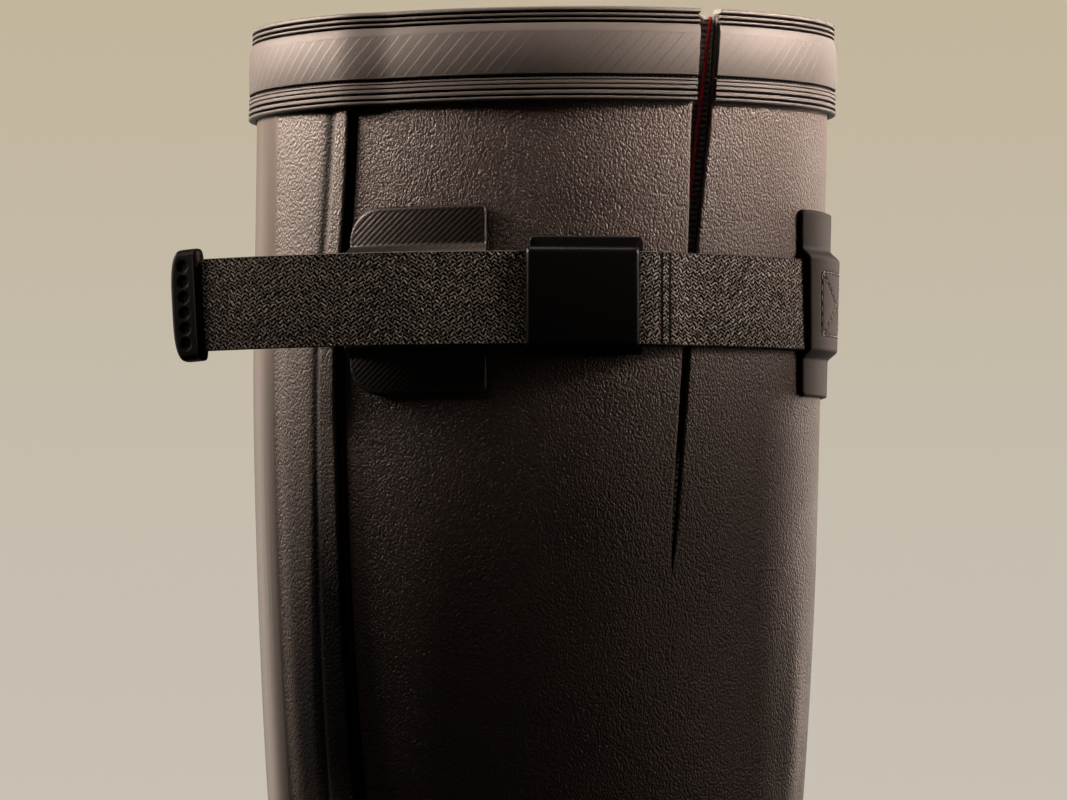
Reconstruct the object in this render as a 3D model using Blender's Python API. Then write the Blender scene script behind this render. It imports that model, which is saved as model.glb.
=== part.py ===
"""Right rubber boot, size 43, with a slit and gusset, a ribbed collar and a webbing strap.

The tables are in millimetres and the meshes in metres. X runs to the toe, +Y to the inner side
of the foot, Z up. The origin is the middle of the heel's tread on the floor.
"""
import math
from collections import namedtuple

import bmesh
import bpy
import numpy as np
from mathutils import Matrix, Vector

MM = 0.001

# Driving sizes of the boot
LAST_LENGTH = 291.0
HEEL_BACK = -35.0
BALL_WIDTH = 106.0
INSTEP_HEIGHT = 121.0
BOOT_HEIGHT = 410.6
HEEL_HEIGHT = 30.0
BALL_HEIGHT = 15.0
TOE_HEIGHT = 23.0
TOE_SPRING = 11.0
WALL = 2.4
GAP = 0.35
CUP_GAP = 0.5

# Driving sizes of the collar and the slit
COLLAR_HEIGHT = 25.2
RIM_COVER = 1.5
SLIT_END_HEIGHT = 257.0
SLIT_TOP_X = 82.5
SLIT_END_X = 72.5

# Driving sizes of the strap and what holds it
STRAP_WIDTH = 25.0
STRAP_THICKNESS = 1.6
STRAP_HEIGHT = 332.3
BUCKLE_X = 48.6
BUCKLE_LENGTH = 31.0
COVER_HEIGHT = 27.4
PLATE_SHIFT = 0.7
PLATE_OFF = 0.6
PLATE_THICKNESS = 1.8
STRAP_OFF = PLATE_OFF + PLATE_THICKNESS + 0.3
ANCHOR_HEIGHT = 50.0
ANCHOR_THICKNESS = 1.4
TUNNEL = 2.6

# Grid of the upper
COLUMNS = 48
SOLE_COLUMNS = 60

# One closed loop of the upper per row, from the sole up.
# back, front: ends of the loop in percent of LAST_LENGTH from the heel
# back_z, front_z: heights in percent of INSTEP_HEIGHT (foot) or BOOT_HEIGHT (shaft)
# swing: shift of the front end to the inner side, mm
# back_round, front_round: radii of the two ends, mm
# rear and fore: half widths at 35 and 68 percent of the loop, outer and inner side, in percent
# of BALL_WIDTH
Section = namedtuple("Section", "name back back_z front front_z swing back_round "
                                "rear_out rear_in fore_out fore_in front_round")
FOOT_SECTIONS = [
    Section("feather", 0.0, 25.0, 100.0, 18.2, 5.0, 34.0, 38.7, 32.1, 51.9, 46.2, 40.0),
    Section("rand", -0.9, 38.0, 99.8, 32.0, 5.0, 35.0, 40.1, 34.9, 53.3, 48.1, 41.0),
    Section("toe box", -1.0, 51.2, 96.8, 45.5, 5.0, 35.0, 39.6, 36.8, 51.4, 47.2, 34.0),
    Section("vamp", -0.2, 67.8, 88.5, 57.4, 4.0, 35.0, 38.7, 37.3, 43.4, 40.6, 24.0),
    Section("low instep", 0.9, 84.3, 75.5, 67.0, 3.0, 35.0, 38.7, 37.7, 36.3, 34.4, 20.0),
    Section("instep", 1.4, 100.8, 61.5, 82.0, 2.0, 35.0, 39.6, 38.7, 36.3, 35.4, 24.0),
    Section("throat", 1.3, 118.2, 51.8, 105.0, 1.0, 36.0, 40.6, 39.6, 38.7, 37.7, 34.0),
]
SHAFT_SECTIONS = [
    Section("ankle", 0.6, 40.7, 48.7, 38.8, 0.0, 38.0, 42.9, 42.0, 41.0, 40.1, 38.0),
    Section("low shaft", -0.4, 48.3, 50.0, 47.8, 0.0, 42.0, 47.2, 46.7, 46.2, 45.8, 39.0),
    Section("calf", -1.3, 61.0, 51.1, 61.0, 0.0, 44.0, 50.5, 50.0, 49.5, 49.1, 40.0),
    Section("upper calf", -1.8, 74.9, 51.7, 75.1, 0.0, 45.0, 52.4, 51.9, 51.4, 50.9, 41.0),
    Section("under collar", -1.6, 87.3, 52.2, 87.7, 0.0, 45.0, 52.8, 52.4, 51.9, 51.4, 42.0),
    Section("rim", -1.4, 99.8, 52.6, 100.2, 0.0, 45.0, 52.8, 52.4, 51.9, 51.4, 42.0),
]
RIM_LEVEL = float(len(FOOT_SECTIONS) + len(SHAFT_SECTIONS) - 1)
SHAFT_LEVEL = float(len(FOOT_SECTIONS))

# Levels of the upper's rows on the foot, in rows of the tables
FOOT_LEVELS = [0.0, 0.5, 1.0, 1.5, 2.0, 2.5, 3.0, 3.5, 4.0, 4.5, 5.0, 5.5, 6.0, 6.5, 7.0]
# Heights of the upper's rows on the shaft, mm
SHAFT_HEIGHTS = [197.0, 226.0, 257.0, 283.0, 308.0, 332.0, 358.0, 384.0]

# Half gap of the slit over the height
Slit = namedtuple("Slit", "height half_gap")
SLIT = [Slit(257.0, 0.0), Slit(268.0, 0.6), Slit(283.0, 0.8), Slit(318.0, 0.9),
        Slit(345.0, 1.2), Slit(360.0, 1.8), Slit(377.0, 2.7), Slit(410.0, 3.0)]

# Middle line of the folded gusset: arc from its folded edge, depth behind the upper's inner face
Fold = namedtuple("Fold", "arc depth")
GUSSET = [Fold(-13.0, 0.9), Fold(-8.0, 0.9), Fold(-4.4, 2.2), Fold(-1.8, 3.6), Fold(1.5, 3.9),
          Fold(9.0, 3.9), Fold(10.2, 3.1), Fold(9.0, 2.3), Fold(1.3, 2.3), Fold(0.2, 1.6),
          Fold(1.3, 0.9), Fold(9.0, 0.9)]
GUSSET_THICKNESS = 0.8
FOLD_ARC = 3.3
FOLD_LEAN = 0.056
GUSSET_HEIGHTS = [262.0, 283.0, 308.0, 332.0, 358.0, 384.0, 405.0]

# Cross-section of the collar: depth below the rim, distance off the shaft, and whether the point
# is carried outwards where the collar passes over the rear panel
Rib = namedtuple("Rib", "depth off carried")
COLLAR = [
    Rib(COLLAR_HEIGHT, GAP, 1), Rib(RIM_COVER - 0.3, GAP, 1), Rib(RIM_COVER - 0.3, -WALL, 0),
    Rib(0.3, -WALL, 0), Rib(0.0, -WALL + 0.5, 0), Rib(0.0, 1.1, 1), Rib(0.4, 1.6, 1),
    Rib(4.4, 1.6, 1), Rib(6.2, 2.2, 1), Rib(18.1, 2.2, 1), Rib(18.7, 1.5, 1), Rib(19.4, 2.3, 1),
    Rib(25.0, 2.4, 1),
]

# Rear panel: arc from the back line and height over the shaft, from the middle to the edge
Roll = namedtuple("Roll", "arc height")
PANEL = [Roll(0.0, 2.7), Roll(7.0, 2.7), Roll(14.0, 2.7), Roll(20.5, 2.7), Roll(22.0, 2.0),
         Roll(30.0, 1.95), Roll(38.0, 1.8), Roll(42.0, 2.1), Roll(46.0, 2.6), Roll(50.0, 1.6)]

# Sole: side profile as level of the upper beside it, distance off that, share of the way from
# the tread up to it, and height over that
SoleRing = namedtuple("SoleRing", "level off share rise")
SOLE = [
    SoleRing(0.0, CUP_GAP, 1.0, -GAP), SoleRing(0.5, CUP_GAP, 1.0, 0.0),
    SoleRing(0.75, CUP_GAP, 1.0, 0.0), SoleRing(0.75, 2.2, 1.0, 0.3), SoleRing(0.7, 3.0, 1.0, 0.0),
    SoleRing(0.3, 3.2, 1.0, 0.0), SoleRing(0.2, 5.0, 1.0, 0.0), SoleRing(0.0, 5.2, 1.0, -0.6),
    SoleRing(0.0, 3.8, 1.0, -2.0), SoleRing(0.0, 3.6, 0.0, 2.0), SoleRing(0.0, 2.2, 0.0, 0.0),
]
# Grooves between the lugs: middle of each along the length, inner end from the spine
Groove = namedtuple("Groove", "x turn length")
GROOVES = [Groove(-20.0, 12.0, 60.0), Groove(-3.0, 12.0, 60.0), Groove(14.0, 12.0, 60.0),
           Groove(128.0, -14.0, 70.0), Groove(146.0, -14.0, 70.0), Groove(164.0, -14.0, 70.0),
           Groove(182.0, -14.0, 70.0), Groove(200.0, -14.0, 70.0), Groove(218.0, -14.0, 70.0),
           Groove(235.0, -14.0, 60.0)]
GROOVE_WIDTH = 7.0
GROOVE_DEPTH = 4.5
SPINE = 7.0
# Underside of the arch as corners of a prism: along the length and height
ARCH = [(36.0, -4.0), (38.0, 8.0), (44.0, 11.0), (84.0, 6.5), (112.0, -0.01), (114.0, -4.0)]

# Free end of the strap
FREE_END = 89.5
FREE_RADIUS = 150.0
FREE_DROOP = 1.2
TAB_TILT = 3.6
TAB_WIDTH = 9.9
TAB_HEIGHT = 30.6
TAB_THICKNESS = 4.8
TAB_HOLES = 6
HOLE_PITCH = 4.2
HOLE_RADIUS = 1.6

# Colours as sRGB hex, roughness
Finish = namedtuple("Finish", "colour rough")
FINISHES = {
    "upper_rubber": Finish("2f241e", 0.5),
    "panel_rubber": Finish("332821", 0.45),
    "collar_rubber": Finish("57493f", 0.45),
    "anchor_rubber": Finish("2a2622", 0.5),
    "front_anchor_rubber": Finish("4a4038", 0.5),
    "sole_rubber": Finish("1d1714", 0.6),
    "insole_felt": Finish("6f675c", 0.9),
    "gusset_cloth": Finish("191817", 0.85),
    "piping_cord": Finish("b3262b", 0.6),
    "strap_webbing": Finish("1c1a19", 0.75),
    "tab_plastic": Finish("111010", 0.45),
    "buckle_plastic": Finish("0e0d0d", 0.4),
}


def table_column(name):
    """One column of the section tables in millimetres, foot first."""
    scale = {"back": LAST_LENGTH, "front": LAST_LENGTH, "rear_out": BALL_WIDTH,
             "rear_in": BALL_WIDTH, "fore_out": BALL_WIDTH, "fore_in": BALL_WIDTH}
    values = []
    for rows, height in ((FOOT_SECTIONS, INSTEP_HEIGHT), (SHAFT_SECTIONS, BOOT_HEIGHT)):
        for row in rows:
            unit = height if name.endswith("_z") else scale.get(name, 100.0)
            values.append(getattr(row, name) * unit / 100.0)
    return np.array(values)


COLUMN = {name: table_column(name) for name in Section._fields[1:]}


def smooth(t):
    """Ease from 0 to 1 for t from 0 to 1."""
    t = np.clip(t, 0.0, 1.0)
    return t * t * (3.0 - 2.0 * t)


def along(name, level):
    """Cubic curve through one column of the tables at the given levels."""
    values = COLUMN[name]
    slopes = np.gradient(values)
    low = np.clip(np.floor(level).astype(int), 0, len(values) - 2)
    t = level - low
    a, b = values[low], values[low + 1]
    ma, mb = slopes[low], slopes[low + 1]
    bend = (2 * a - 2 * b + ma + mb) * t ** 3 + (3 * b - 3 * a - 2 * ma - mb) * t ** 2
    return bend + ma * t + a


def bed(x):
    """Height of the sole's bed along the foot: heel seat, ball, toe."""
    fall = (HEEL_HEIGHT - BALL_HEIGHT) * smooth((x - 15.0) / 125.0)
    return HEEL_HEIGHT - fall + (TOE_HEIGHT - BALL_HEIGHT) * smooth((x - 165.0) / 115.0)


def tread(x):
    """Height of the tread along the foot: flat, then the toe spring."""
    return TOE_SPRING * np.clip((x - 196.0) / 66.0, 0.0, 1.0) ** 1.6


def half_width(s, ends, rear, fore, length):
    """Half width along a loop: a cubic through its end radii and two given widths."""
    w0 = np.sqrt(ends[0] * length / 2.0)
    w3 = np.sqrt(ends[1] * length / 2.0)
    w1 = rear / (2.0 * math.sqrt(0.35 * 0.65))
    w2 = fore / (2.0 * math.sqrt(0.68 * 0.32))
    total = 0.0
    nodes = (0.0, 0.35, 0.68, 1.0)
    for i, w in enumerate((w0, w1, w2, w3)):
        term = w
        for j, node in enumerate(nodes):
            if j != i:
                term = term * (s - node) / (nodes[i] - node)
        total = total + term
    return total


def base_point(level, theta):
    """Point of the upper's outer face. theta 0 is the back, pi the front, outer side between."""
    level, theta = np.broadcast_arrays(np.asarray(level, float), np.asarray(theta, float))
    s = (1.0 - np.cos(theta)) / 2.0
    back = HEEL_BACK + along("back", level)
    length = HEEL_BACK + along("front", level) - back
    ends = (along("back_round", level), along("front_round", level))
    outer = half_width(s, ends, along("rear_out", level), along("fore_out", level), length)
    inner = half_width(s, ends, along("rear_in", level), along("fore_in", level), length)
    side = np.sin(theta)
    x = back + length * s
    y = along("swing", level) * s ** 2 - side * np.where(side > 0.0, outer, inner)
    line = along("back_z", level) + (along("front_z", level) - along("back_z", level)) * s
    feather = COLUMN["back_z"][0] + (COLUMN["front_z"][0] - COLUMN["back_z"][0]) * s
    z = line + np.clip(1.0 - level, 0.0, 1.0) * (bed(x) + GAP - feather)
    return np.stack([x, y, z], axis=-1)


def surface(level, theta, off=0.0):
    """Point at the given distance off the upper's outer face."""
    level, theta, off = np.broadcast_arrays(np.asarray(level, float), np.asarray(theta, float),
                                            np.asarray(off, float))
    step = 0.004
    up = base_point(np.minimum(level + step, RIM_LEVEL), theta)
    down = base_point(np.maximum(level - step, 0.0), theta)
    ahead = base_point(level, theta + step) - base_point(level, theta - step)
    normal = np.cross(ahead, up - down)
    normal /= np.linalg.norm(normal, axis=-1, keepdims=True)
    return base_point(level, theta) + off[..., None] * normal


def level_at(height):
    """Level of the tables at a height of the shaft."""
    levels = np.linspace(SHAFT_LEVEL - 1.0, RIM_LEVEL, 400)
    heights = (along("back_z", levels) + along("front_z", levels)) / 2.0
    return np.interp(height, heights, levels)


def theta_at(level, x):
    """Angle on the outer side where the loop passes a place along the length."""
    back = HEEL_BACK + along("back", level)
    length = HEEL_BACK + along("front", level) - back
    return np.arccos(np.clip(1.0 - 2.0 * (x - back) / length, -1.0, 1.0))


def walk(level, start, arcs):
    """Angles reached by walking the given arcs along the loop from a start angle."""
    angles = start + np.linspace(-math.pi, math.pi, 721)
    points = base_point(np.full_like(angles, level), angles)
    steps = np.linalg.norm(np.diff(points, axis=0), axis=1)
    run = np.concatenate([[0.0], np.cumsum(steps)])
    run -= run[360]
    return np.interp(arcs, run, angles)


def slit_half(height):
    """Half gap of the slit at a height."""
    return np.interp(height, [row.height for row in SLIT], [row.half_gap for row in SLIT])


def slit_theta(height):
    """Angle of the slit's middle at a height."""
    share = np.clip((height - SLIT_END_HEIGHT) / (BOOT_HEIGHT - SLIT_END_HEIGHT), 0.0, 1.0)
    x = SLIT_END_X + (SLIT_TOP_X - SLIT_END_X) * share
    return theta_at(level_at(height), x)


def slit_angles(height):
    """Angles of the front and the rear lip at a height, the rear one a full turn on."""
    middle = float(slit_theta(height))
    half = float(slit_half(height))
    level = float(level_at(height))
    reach = walk(level, middle, np.array([-half, half]))
    return reach[1], reach[0] + 2.0 * math.pi


def finish(name):
    """Principled material in its colour and roughness."""
    row = FINISHES[name]
    srgb = np.array([int(row.colour[i:i + 2], 16) for i in (0, 2, 4)]) / 255.0
    linear = np.where(srgb <= 0.04045, srgb / 12.92, ((srgb + 0.055) / 1.055) ** 2.4)
    material = bpy.data.materials.new(name)
    material.use_nodes = True
    shader = material.node_tree.nodes["Principled BSDF"]
    shader.inputs["Base Color"].default_value = (*linear, 1.0)
    shader.inputs["Roughness"].default_value = row.rough
    shader.inputs["Metallic"].default_value = 0.0
    return material


def add_object(name, mesh_data, material, is_smooth):
    """Named object with a material, shaded smooth where it is round."""
    for polygon in mesh_data.polygons:
        polygon.use_smooth = is_smooth
    obj = bpy.data.objects.new(name, mesh_data)
    obj.data.materials.append(finish(material))
    bpy.context.scene.collection.objects.link(obj)
    return obj


def solid(name, points, faces, material, is_smooth=True):
    """Object from points in millimetres, with coincident points merged and faces outward."""
    mesh = bmesh.new()
    verts = [mesh.verts.new(point * MM) for point in np.asarray(points, float)]
    for face in faces:
        mesh.faces.new([verts[i] for i in face])
    bmesh.ops.remove_doubles(mesh, verts=mesh.verts, dist=0.000002)
    bmesh.ops.recalc_face_normals(mesh, faces=mesh.faces)
    data = bpy.data.meshes.new(name)
    mesh.to_mesh(data)
    mesh.free()
    return add_object(name, data, material, is_smooth)


def quads(grid, wrap=False):
    """Faces of a grid of point numbers, row by row, closed along the columns if asked."""
    ahead = np.roll(grid, -1, axis=1) if wrap else grid[:, 1:]
    here = grid if wrap else grid[:, :-1]
    stack = np.stack([here[:-1], ahead[:-1], ahead[1:], here[1:]], axis=-1)
    return [tuple(int(i) for i in face) for face in stack.reshape(-1, 4)]


def sheet_solid(name, outer, inner, material):
    """Closed sheet between two grids of points."""
    rows, cols = outer.shape[:2]
    a = np.arange(rows * cols).reshape(rows, cols)
    b = a + rows * cols
    faces = quads(a) + quads(b[:, ::-1])
    for edge in ((a[0], b[0]), (a[-1], b[-1]), (a[:, 0], b[:, 0]), (a[:, -1], b[:, -1])):
        faces += quads(np.stack(edge))
    points = np.concatenate([outer.reshape(-1, 3), inner.reshape(-1, 3)])
    return solid(name, points, faces, material)


def sweep_solid(name, rings, material, is_smooth=True):
    """Closed bar through rings of points, capped at both ends."""
    count, around = rings.shape[:2]
    grid = np.arange(count * around).reshape(count, around)
    faces = quads(grid, wrap=True)
    faces += [tuple(int(i) for i in grid[0][::-1]), tuple(int(i) for i in grid[-1])]
    return solid(name, rings.reshape(-1, 3), faces, material, is_smooth)


def make_upper():
    """Hollow foot and shaft: one wall through all sections, open below, above and at the slit."""
    heights = np.array(SHAFT_HEIGHTS + [BOOT_HEIGHT - RIM_COVER])
    levels = np.concatenate([FOOT_LEVELS, level_at(heights)])
    first = slit_angles(SLIT_END_HEIGHT)
    angles = []
    for level in levels:
        ends = first
        if level > level_at(SLIT_END_HEIGHT) + 0.001:
            ends = slit_angles(np.interp(level, level_at(heights), heights))
        angles.append(np.linspace(ends[0], ends[1], COLUMNS + 1))
    theta = np.array(angles)
    outer = surface(levels[:, None], theta)
    inner = surface(levels[:, None], theta, -WALL)
    rows, cols = theta.shape
    a = np.arange(rows * cols).reshape(rows, cols)
    b = a + rows * cols
    faces = quads(a) + quads(b[:, ::-1])
    faces += quads(np.stack([a[0], b[0]])) + quads(np.stack([a[-1], b[-1]]))
    split = len(FOOT_LEVELS) + SHAFT_HEIGHTS.index(SLIT_END_HEIGHT)
    faces += quads(np.stack([a[split:, 0], b[split:, 0]]))
    faces += quads(np.stack([a[split:, -1], b[split:, -1]]))
    points = np.concatenate([outer.reshape(-1, 3), inner.reshape(-1, 3)])
    solid("upper", points, faces, "upper_rubber")


def sole_ring(level, off, count):
    """Loop of the upper moved outwards in plan, closed all round from the back."""
    theta = np.linspace(0.0, 2.0 * math.pi, count, endpoint=False)
    points = base_point(level, theta)
    ahead = base_point(level, theta + 0.004) - base_point(level, theta - 0.004)
    normal = np.stack([ahead[:, 1], -ahead[:, 0]], axis=-1)
    normal /= np.linalg.norm(normal, axis=-1, keepdims=True)
    points[:, :2] += off * normal
    return points


def ladder(ring):
    """Faces across a closed ring that joins its two sides, from back to front."""
    count = len(ring)
    half = count // 2
    faces = [(ring[0], ring[1], ring[count - 1]), (ring[half], ring[half + 1], ring[half - 1])]
    for i in range(1, half - 1):
        faces.append((ring[i], ring[i + 1], ring[count - i - 1], ring[count - i]))
    return [tuple(int(i) for i in face) for face in faces]


def plate_from_rings(name, rings, material):
    """Closed plate through rings of the sole's outline, filled across below and above."""
    count, around = rings.shape[:2]
    grid = np.arange(count * around).reshape(count, around)
    faces = quads(grid, wrap=True) + ladder(grid[0]) + ladder(grid[-1])
    return solid(name, rings.reshape(-1, 3), faces, material)


def make_outsole():
    """Cupped sole with a welt rib, an arch cut under the waist and grooves between the lugs."""
    rings = []
    for row in SOLE:
        ring = sole_ring(row.level, row.off, SOLE_COLUMNS)
        low = tread(ring[:, 0])
        ring[:, 2] = low + (ring[:, 2] - low) * row.share + row.rise
        rings.append(ring)
    sole = plate_from_rings("outsole", np.array(rings), "sole_rubber")
    mesh = bmesh.new()
    corners = [[mesh.verts.new(Vector((x, y, z)) * MM) for x, z in ARCH] for y in (-80.0, 80.0)]
    mesh.faces.new(corners[0])
    mesh.faces.new(corners[1][::-1])
    for i in range(len(ARCH)):
        j = (i + 1) % len(ARCH)
        mesh.faces.new([corners[0][j], corners[0][i], corners[1][i], corners[1][j]])
    for row in GROOVES:
        for side in (-1.0, 1.0):
            turn = Matrix.Rotation(math.radians(row.turn * side), 4, "Z")
            place = Matrix.Translation(Vector((row.x, 0.0, float(tread(row.x)))) * MM)
            size = Matrix.Diagonal((GROOVE_WIDTH * MM, row.length * MM, 2.0 * GROOVE_DEPTH * MM, 1.0))
            shift = Matrix.Translation(Vector((0.0, side * (SPINE + row.length / 2.0), 0.0)) * MM)
            bmesh.ops.create_cube(mesh, size=1.0, matrix=place @ turn @ shift @ size)
    bmesh.ops.recalc_face_normals(mesh, faces=mesh.faces)
    data = bpy.data.meshes.new("sole_cutter")
    mesh.to_mesh(data)
    mesh.free()
    carve(sole, data)


def carve(target, cutter_data):
    """Cut a mesh out of an object and keep the cutter hidden."""
    cutter = bpy.data.objects.new(cutter_data.name, cutter_data)
    cutter.hide_render = True
    cutter.display_type = "WIRE"
    bpy.context.scene.collection.objects.link(cutter)
    cutter.parent = target
    modifier = target.modifiers.new("cut", "BOOLEAN")
    modifier.operation = "DIFFERENCE"
    modifier.solver = "EXACT"
    modifier.object = cutter


def make_insole():
    """Plain pad on the sole's bed inside the upper."""
    rings = []
    for inset, rise in ((0.6, 0.0), (0.4, 0.6), (0.4, 3.2), (1.4, 3.8)):
        ring = sole_ring(0.0, -WALL - inset, 40)
        ring[:, 2] += rise
        rings.append(ring)
    plate_from_rings("insole", np.array(rings), "insole_felt")


def carry(level, theta):
    """How far the collar is carried outwards over the rear panel at each angle."""
    arcs = np.array([50.5, 66.0])
    near = walk(level, 0.0, arcs)
    turn = np.abs((theta + math.pi) % (2.0 * math.pi) - math.pi)
    return 2.75 * (1.0 - smooth((turn - near[0]) / (near[1] - near[0])))


def make_collar():
    """Ribbed band around the top, open at the slit, with a lip over the upper's edge."""
    rings = []
    count = COLUMNS
    for j in range(count + 1):
        ring = []
        for row in COLLAR:
            height = BOOT_HEIGHT - row.depth
            ends = slit_angles(height)
            theta = ends[0] + (ends[1] - ends[0]) * j / count
            level = level_at(height)
            off = row.off + row.carried * carry(float(level_at(BOOT_HEIGHT - 12.0)), theta)
            ring.append(surface(level, theta, off))
        rings.append(ring)
    sweep_solid("collar_band", np.array(rings), "collar_rubber", False)


def make_back_panel():
    """Rear panel from the sole's cup to the rim, with a raised strip and a rolled border."""
    arcs = np.array([-row.arc for row in PANEL[:0:-1]] + [row.arc for row in PANEL])
    tops = np.array([row.height for row in PANEL[:0:-1]] + [row.height for row in PANEL])
    heights = np.array(SHAFT_HEIGHTS + [BOOT_HEIGHT - RIM_COVER])
    levels = np.concatenate([[1.0], FOOT_LEVELS[3:], level_at(heights)])
    theta = np.array([walk(float(level), 0.0, arcs) for level in levels])
    outer = surface(levels[:, None], theta, tops[None, :])
    inner = surface(levels[:, None], theta, GAP)
    sheet_solid("back_panel", outer, inner, "panel_rubber")


def fold_arc(height):
    """Place of the gusset's folded edge from the slit's middle at a height."""
    return FOLD_ARC + (height - BOOT_HEIGHT) * FOLD_LEAN


def make_gusset():
    """Pleated cloth behind the slit, wider at the top, with a red cord on its folded edge."""
    rings = []
    cord = []
    for height in GUSSET_HEIGHTS:
        level = float(level_at(height))
        middle = float(slit_theta(height))
        narrow = 0.45 + 0.55 * (height - GUSSET_HEIGHTS[0]) / (GUSSET_HEIGHTS[-1] - GUSSET_HEIGHTS[0])
        arcs = np.array([row.arc for row in GUSSET]) * narrow
        depths = np.array([row.depth for row in GUSSET])
        run = np.stack([np.gradient(arcs), np.gradient(depths)], axis=-1)
        run /= np.linalg.norm(run, axis=-1, keepdims=True)
        half = GUSSET_THICKNESS / 2.0
        one = np.stack([arcs - run[:, 1] * half, depths + run[:, 0] * half], axis=-1)
        two = np.stack([arcs + run[:, 1] * half, depths - run[:, 0] * half], axis=-1)
        around = np.concatenate([one, two[::-1]])
        theta = walk(level, middle, around[:, 0] + fold_arc(height))
        rings.append(surface(level, theta, -WALL - around[:, 1]))
        spot = walk(level, middle, np.array([fold_arc(height) - 1.2]))
        cord.append(surface(level, spot, -WALL - 1.3)[0])
    sweep_solid("gusset", np.array(rings), "gusset_cloth")
    tube("gusset_piping", cord, 0.5, "piping_cord")


def tube(name, path, radius, material):
    """Round cord along a path, with closed ends."""
    curve = bpy.data.curves.new(name, "CURVE")
    curve.dimensions = "3D"
    curve.bevel_depth = radius * MM
    curve.bevel_resolution = 1
    curve.use_fill_caps = True
    spline = curve.splines.new("POLY")
    spline.points.add(len(path) - 1)
    for point, place in zip(spline.points, path):
        point.co = (*(np.asarray(place) * MM), 1.0)
    shape = bpy.data.objects.new(name + "_path", curve)
    data = bpy.data.meshes.new_from_object(shape)
    data.name = name
    bpy.data.objects.remove(shape)
    mesh = bmesh.new()
    mesh.from_mesh(data)
    bmesh.ops.remove_doubles(mesh, verts=mesh.verts, dist=0.000002)
    bmesh.ops.recalc_face_normals(mesh, faces=mesh.faces)
    mesh.to_mesh(data)
    mesh.free()
    data.materials.clear()
    add_object(name, data, material, True)


def anchor_pad(name, start, arcs, corners, material):
    """Patch on the shaft, rounded at its two ends, with a raised tunnel over the webbing's end."""
    half = ANCHOR_HEIGHT / 2.0
    rises = [0.0]
    for rise in (13.1, 16.7, half - corners[0], half - corners[1], half - 1.0, half):
        rises += [-rise, rise]
    outer = []
    inner = []
    for rise in sorted(set(rises)):
        cuts = []
        for corner in corners:
            near = max(0.0, abs(rise) - half + corner)
            cuts.append(corner - math.sqrt(max(0.0, corner ** 2 - near ** 2)))
        level = float(level_at(STRAP_HEIGHT + rise))
        across = np.linspace(arcs[0] + cuts[0], arcs[1] - cuts[1], 8)
        theta = walk(level, float(theta_at(level, start)), across)
        lift = TUNNEL * float(smooth((16.7 - abs(rise)) / 3.6))
        outer.append(surface(level, theta, GAP + lift + ANCHOR_THICKNESS))
        inner.append(surface(level, theta, GAP + lift))
    sheet_solid(name, np.array(outer), np.array(inner), material)


def buckle_frame():
    """Place, run and outward direction of the buckle on the shaft."""
    level = float(level_at(STRAP_HEIGHT))
    theta = float(theta_at(level, BUCKLE_X))
    place = surface(level, theta)
    ahead = base_point(level, theta + 0.01) - base_point(level, theta - 0.01)
    run = Vector((ahead[0], ahead[1], 0.0)).normalized()
    out = Vector((run.y, -run.x, 0.0))
    return Vector((place[0], place[1], STRAP_HEIGHT)), run, out


def ribbon(name, path, outs, droop, material):
    """Flat webbing along a path of inner-face points, with soft edges."""
    half = STRAP_WIDTH / 2.0
    soft = 0.4
    rings = []
    for place, out, low in zip(path, outs, droop):
        base = Vector(place)
        profile = ((0.0, -half + soft), (0.0, half - soft), (soft, half), (STRAP_THICKNESS - soft, half),
                   (STRAP_THICKNESS, half - soft), (STRAP_THICKNESS, -half + soft),
                   (STRAP_THICKNESS - soft, -half), (soft, -half))
        rings.append([base + Vector(out) * o + Vector((0.0, 0.0, z - low)) for o, z in profile])
    sweep_solid(name, np.array(rings), material, False)


def make_straps():
    """Webbing strap from the front anchor through the buckle, and the short one behind it."""
    centre, run, out = buckle_frame()
    level = float(level_at(STRAP_HEIGHT))
    path = []
    outs = []
    droop = []
    reach = BUCKLE_LENGTH / 2.0 + 1.0
    edge = float(theta_at(level, (centre + run * (reach + 14.0)).x))
    front = float(walk(level, math.pi, np.array([-10.0]))[0])
    for theta in np.linspace(front, edge, 13):
        spot = surface(level, theta)
        side = Vector(surface(level, theta, 1.0) - spot)
        side.z = 0.0
        side.normalize()
        path.append(Vector((spot[0], spot[1], STRAP_HEIGHT)) + side * (GAP + 0.4))
        outs.append(side)
        droop.append(0.0)
    for share in (1.0, -1.0):
        path.append(centre + out * STRAP_OFF + run * reach * share)
        outs.append(out)
        droop.append(0.0)
    leave = path[-1]
    for i in range(1, 15):
        length = FREE_END * i / 14.0
        turn = length / FREE_RADIUS
        along_run = FREE_RADIUS * math.sin(turn)
        inward = FREE_RADIUS * (1.0 - math.cos(turn))
        path.append(leave - run * along_run - out * inward)
        outs.append((out * math.cos(turn) - run * math.sin(turn)).normalized())
        droop.append(FREE_DROOP * (length / FREE_END) ** 1.5)
    ribbon("strap", path, outs, droop, "strap_webbing")
    make_end_tab(path[-1], outs[-1], droop[-1])
    short = []
    sides = []
    start = theta_at(level, (centre - run * (BUCKLE_LENGTH / 2.0 + 0.4)).x)
    for theta in np.linspace(float(start), float(theta_at(level, 8.0)), 5):
        spot = surface(level, theta)
        side = Vector(surface(level, theta, 1.0) - spot)
        side.z = 0.0
        side.normalize()
        short.append(Vector((spot[0], spot[1], STRAP_HEIGHT)) + side * (GAP + 0.35))
        sides.append(side)
    ribbon("buckle_strap", short, sides, [0.0] * 5, "strap_webbing")


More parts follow.
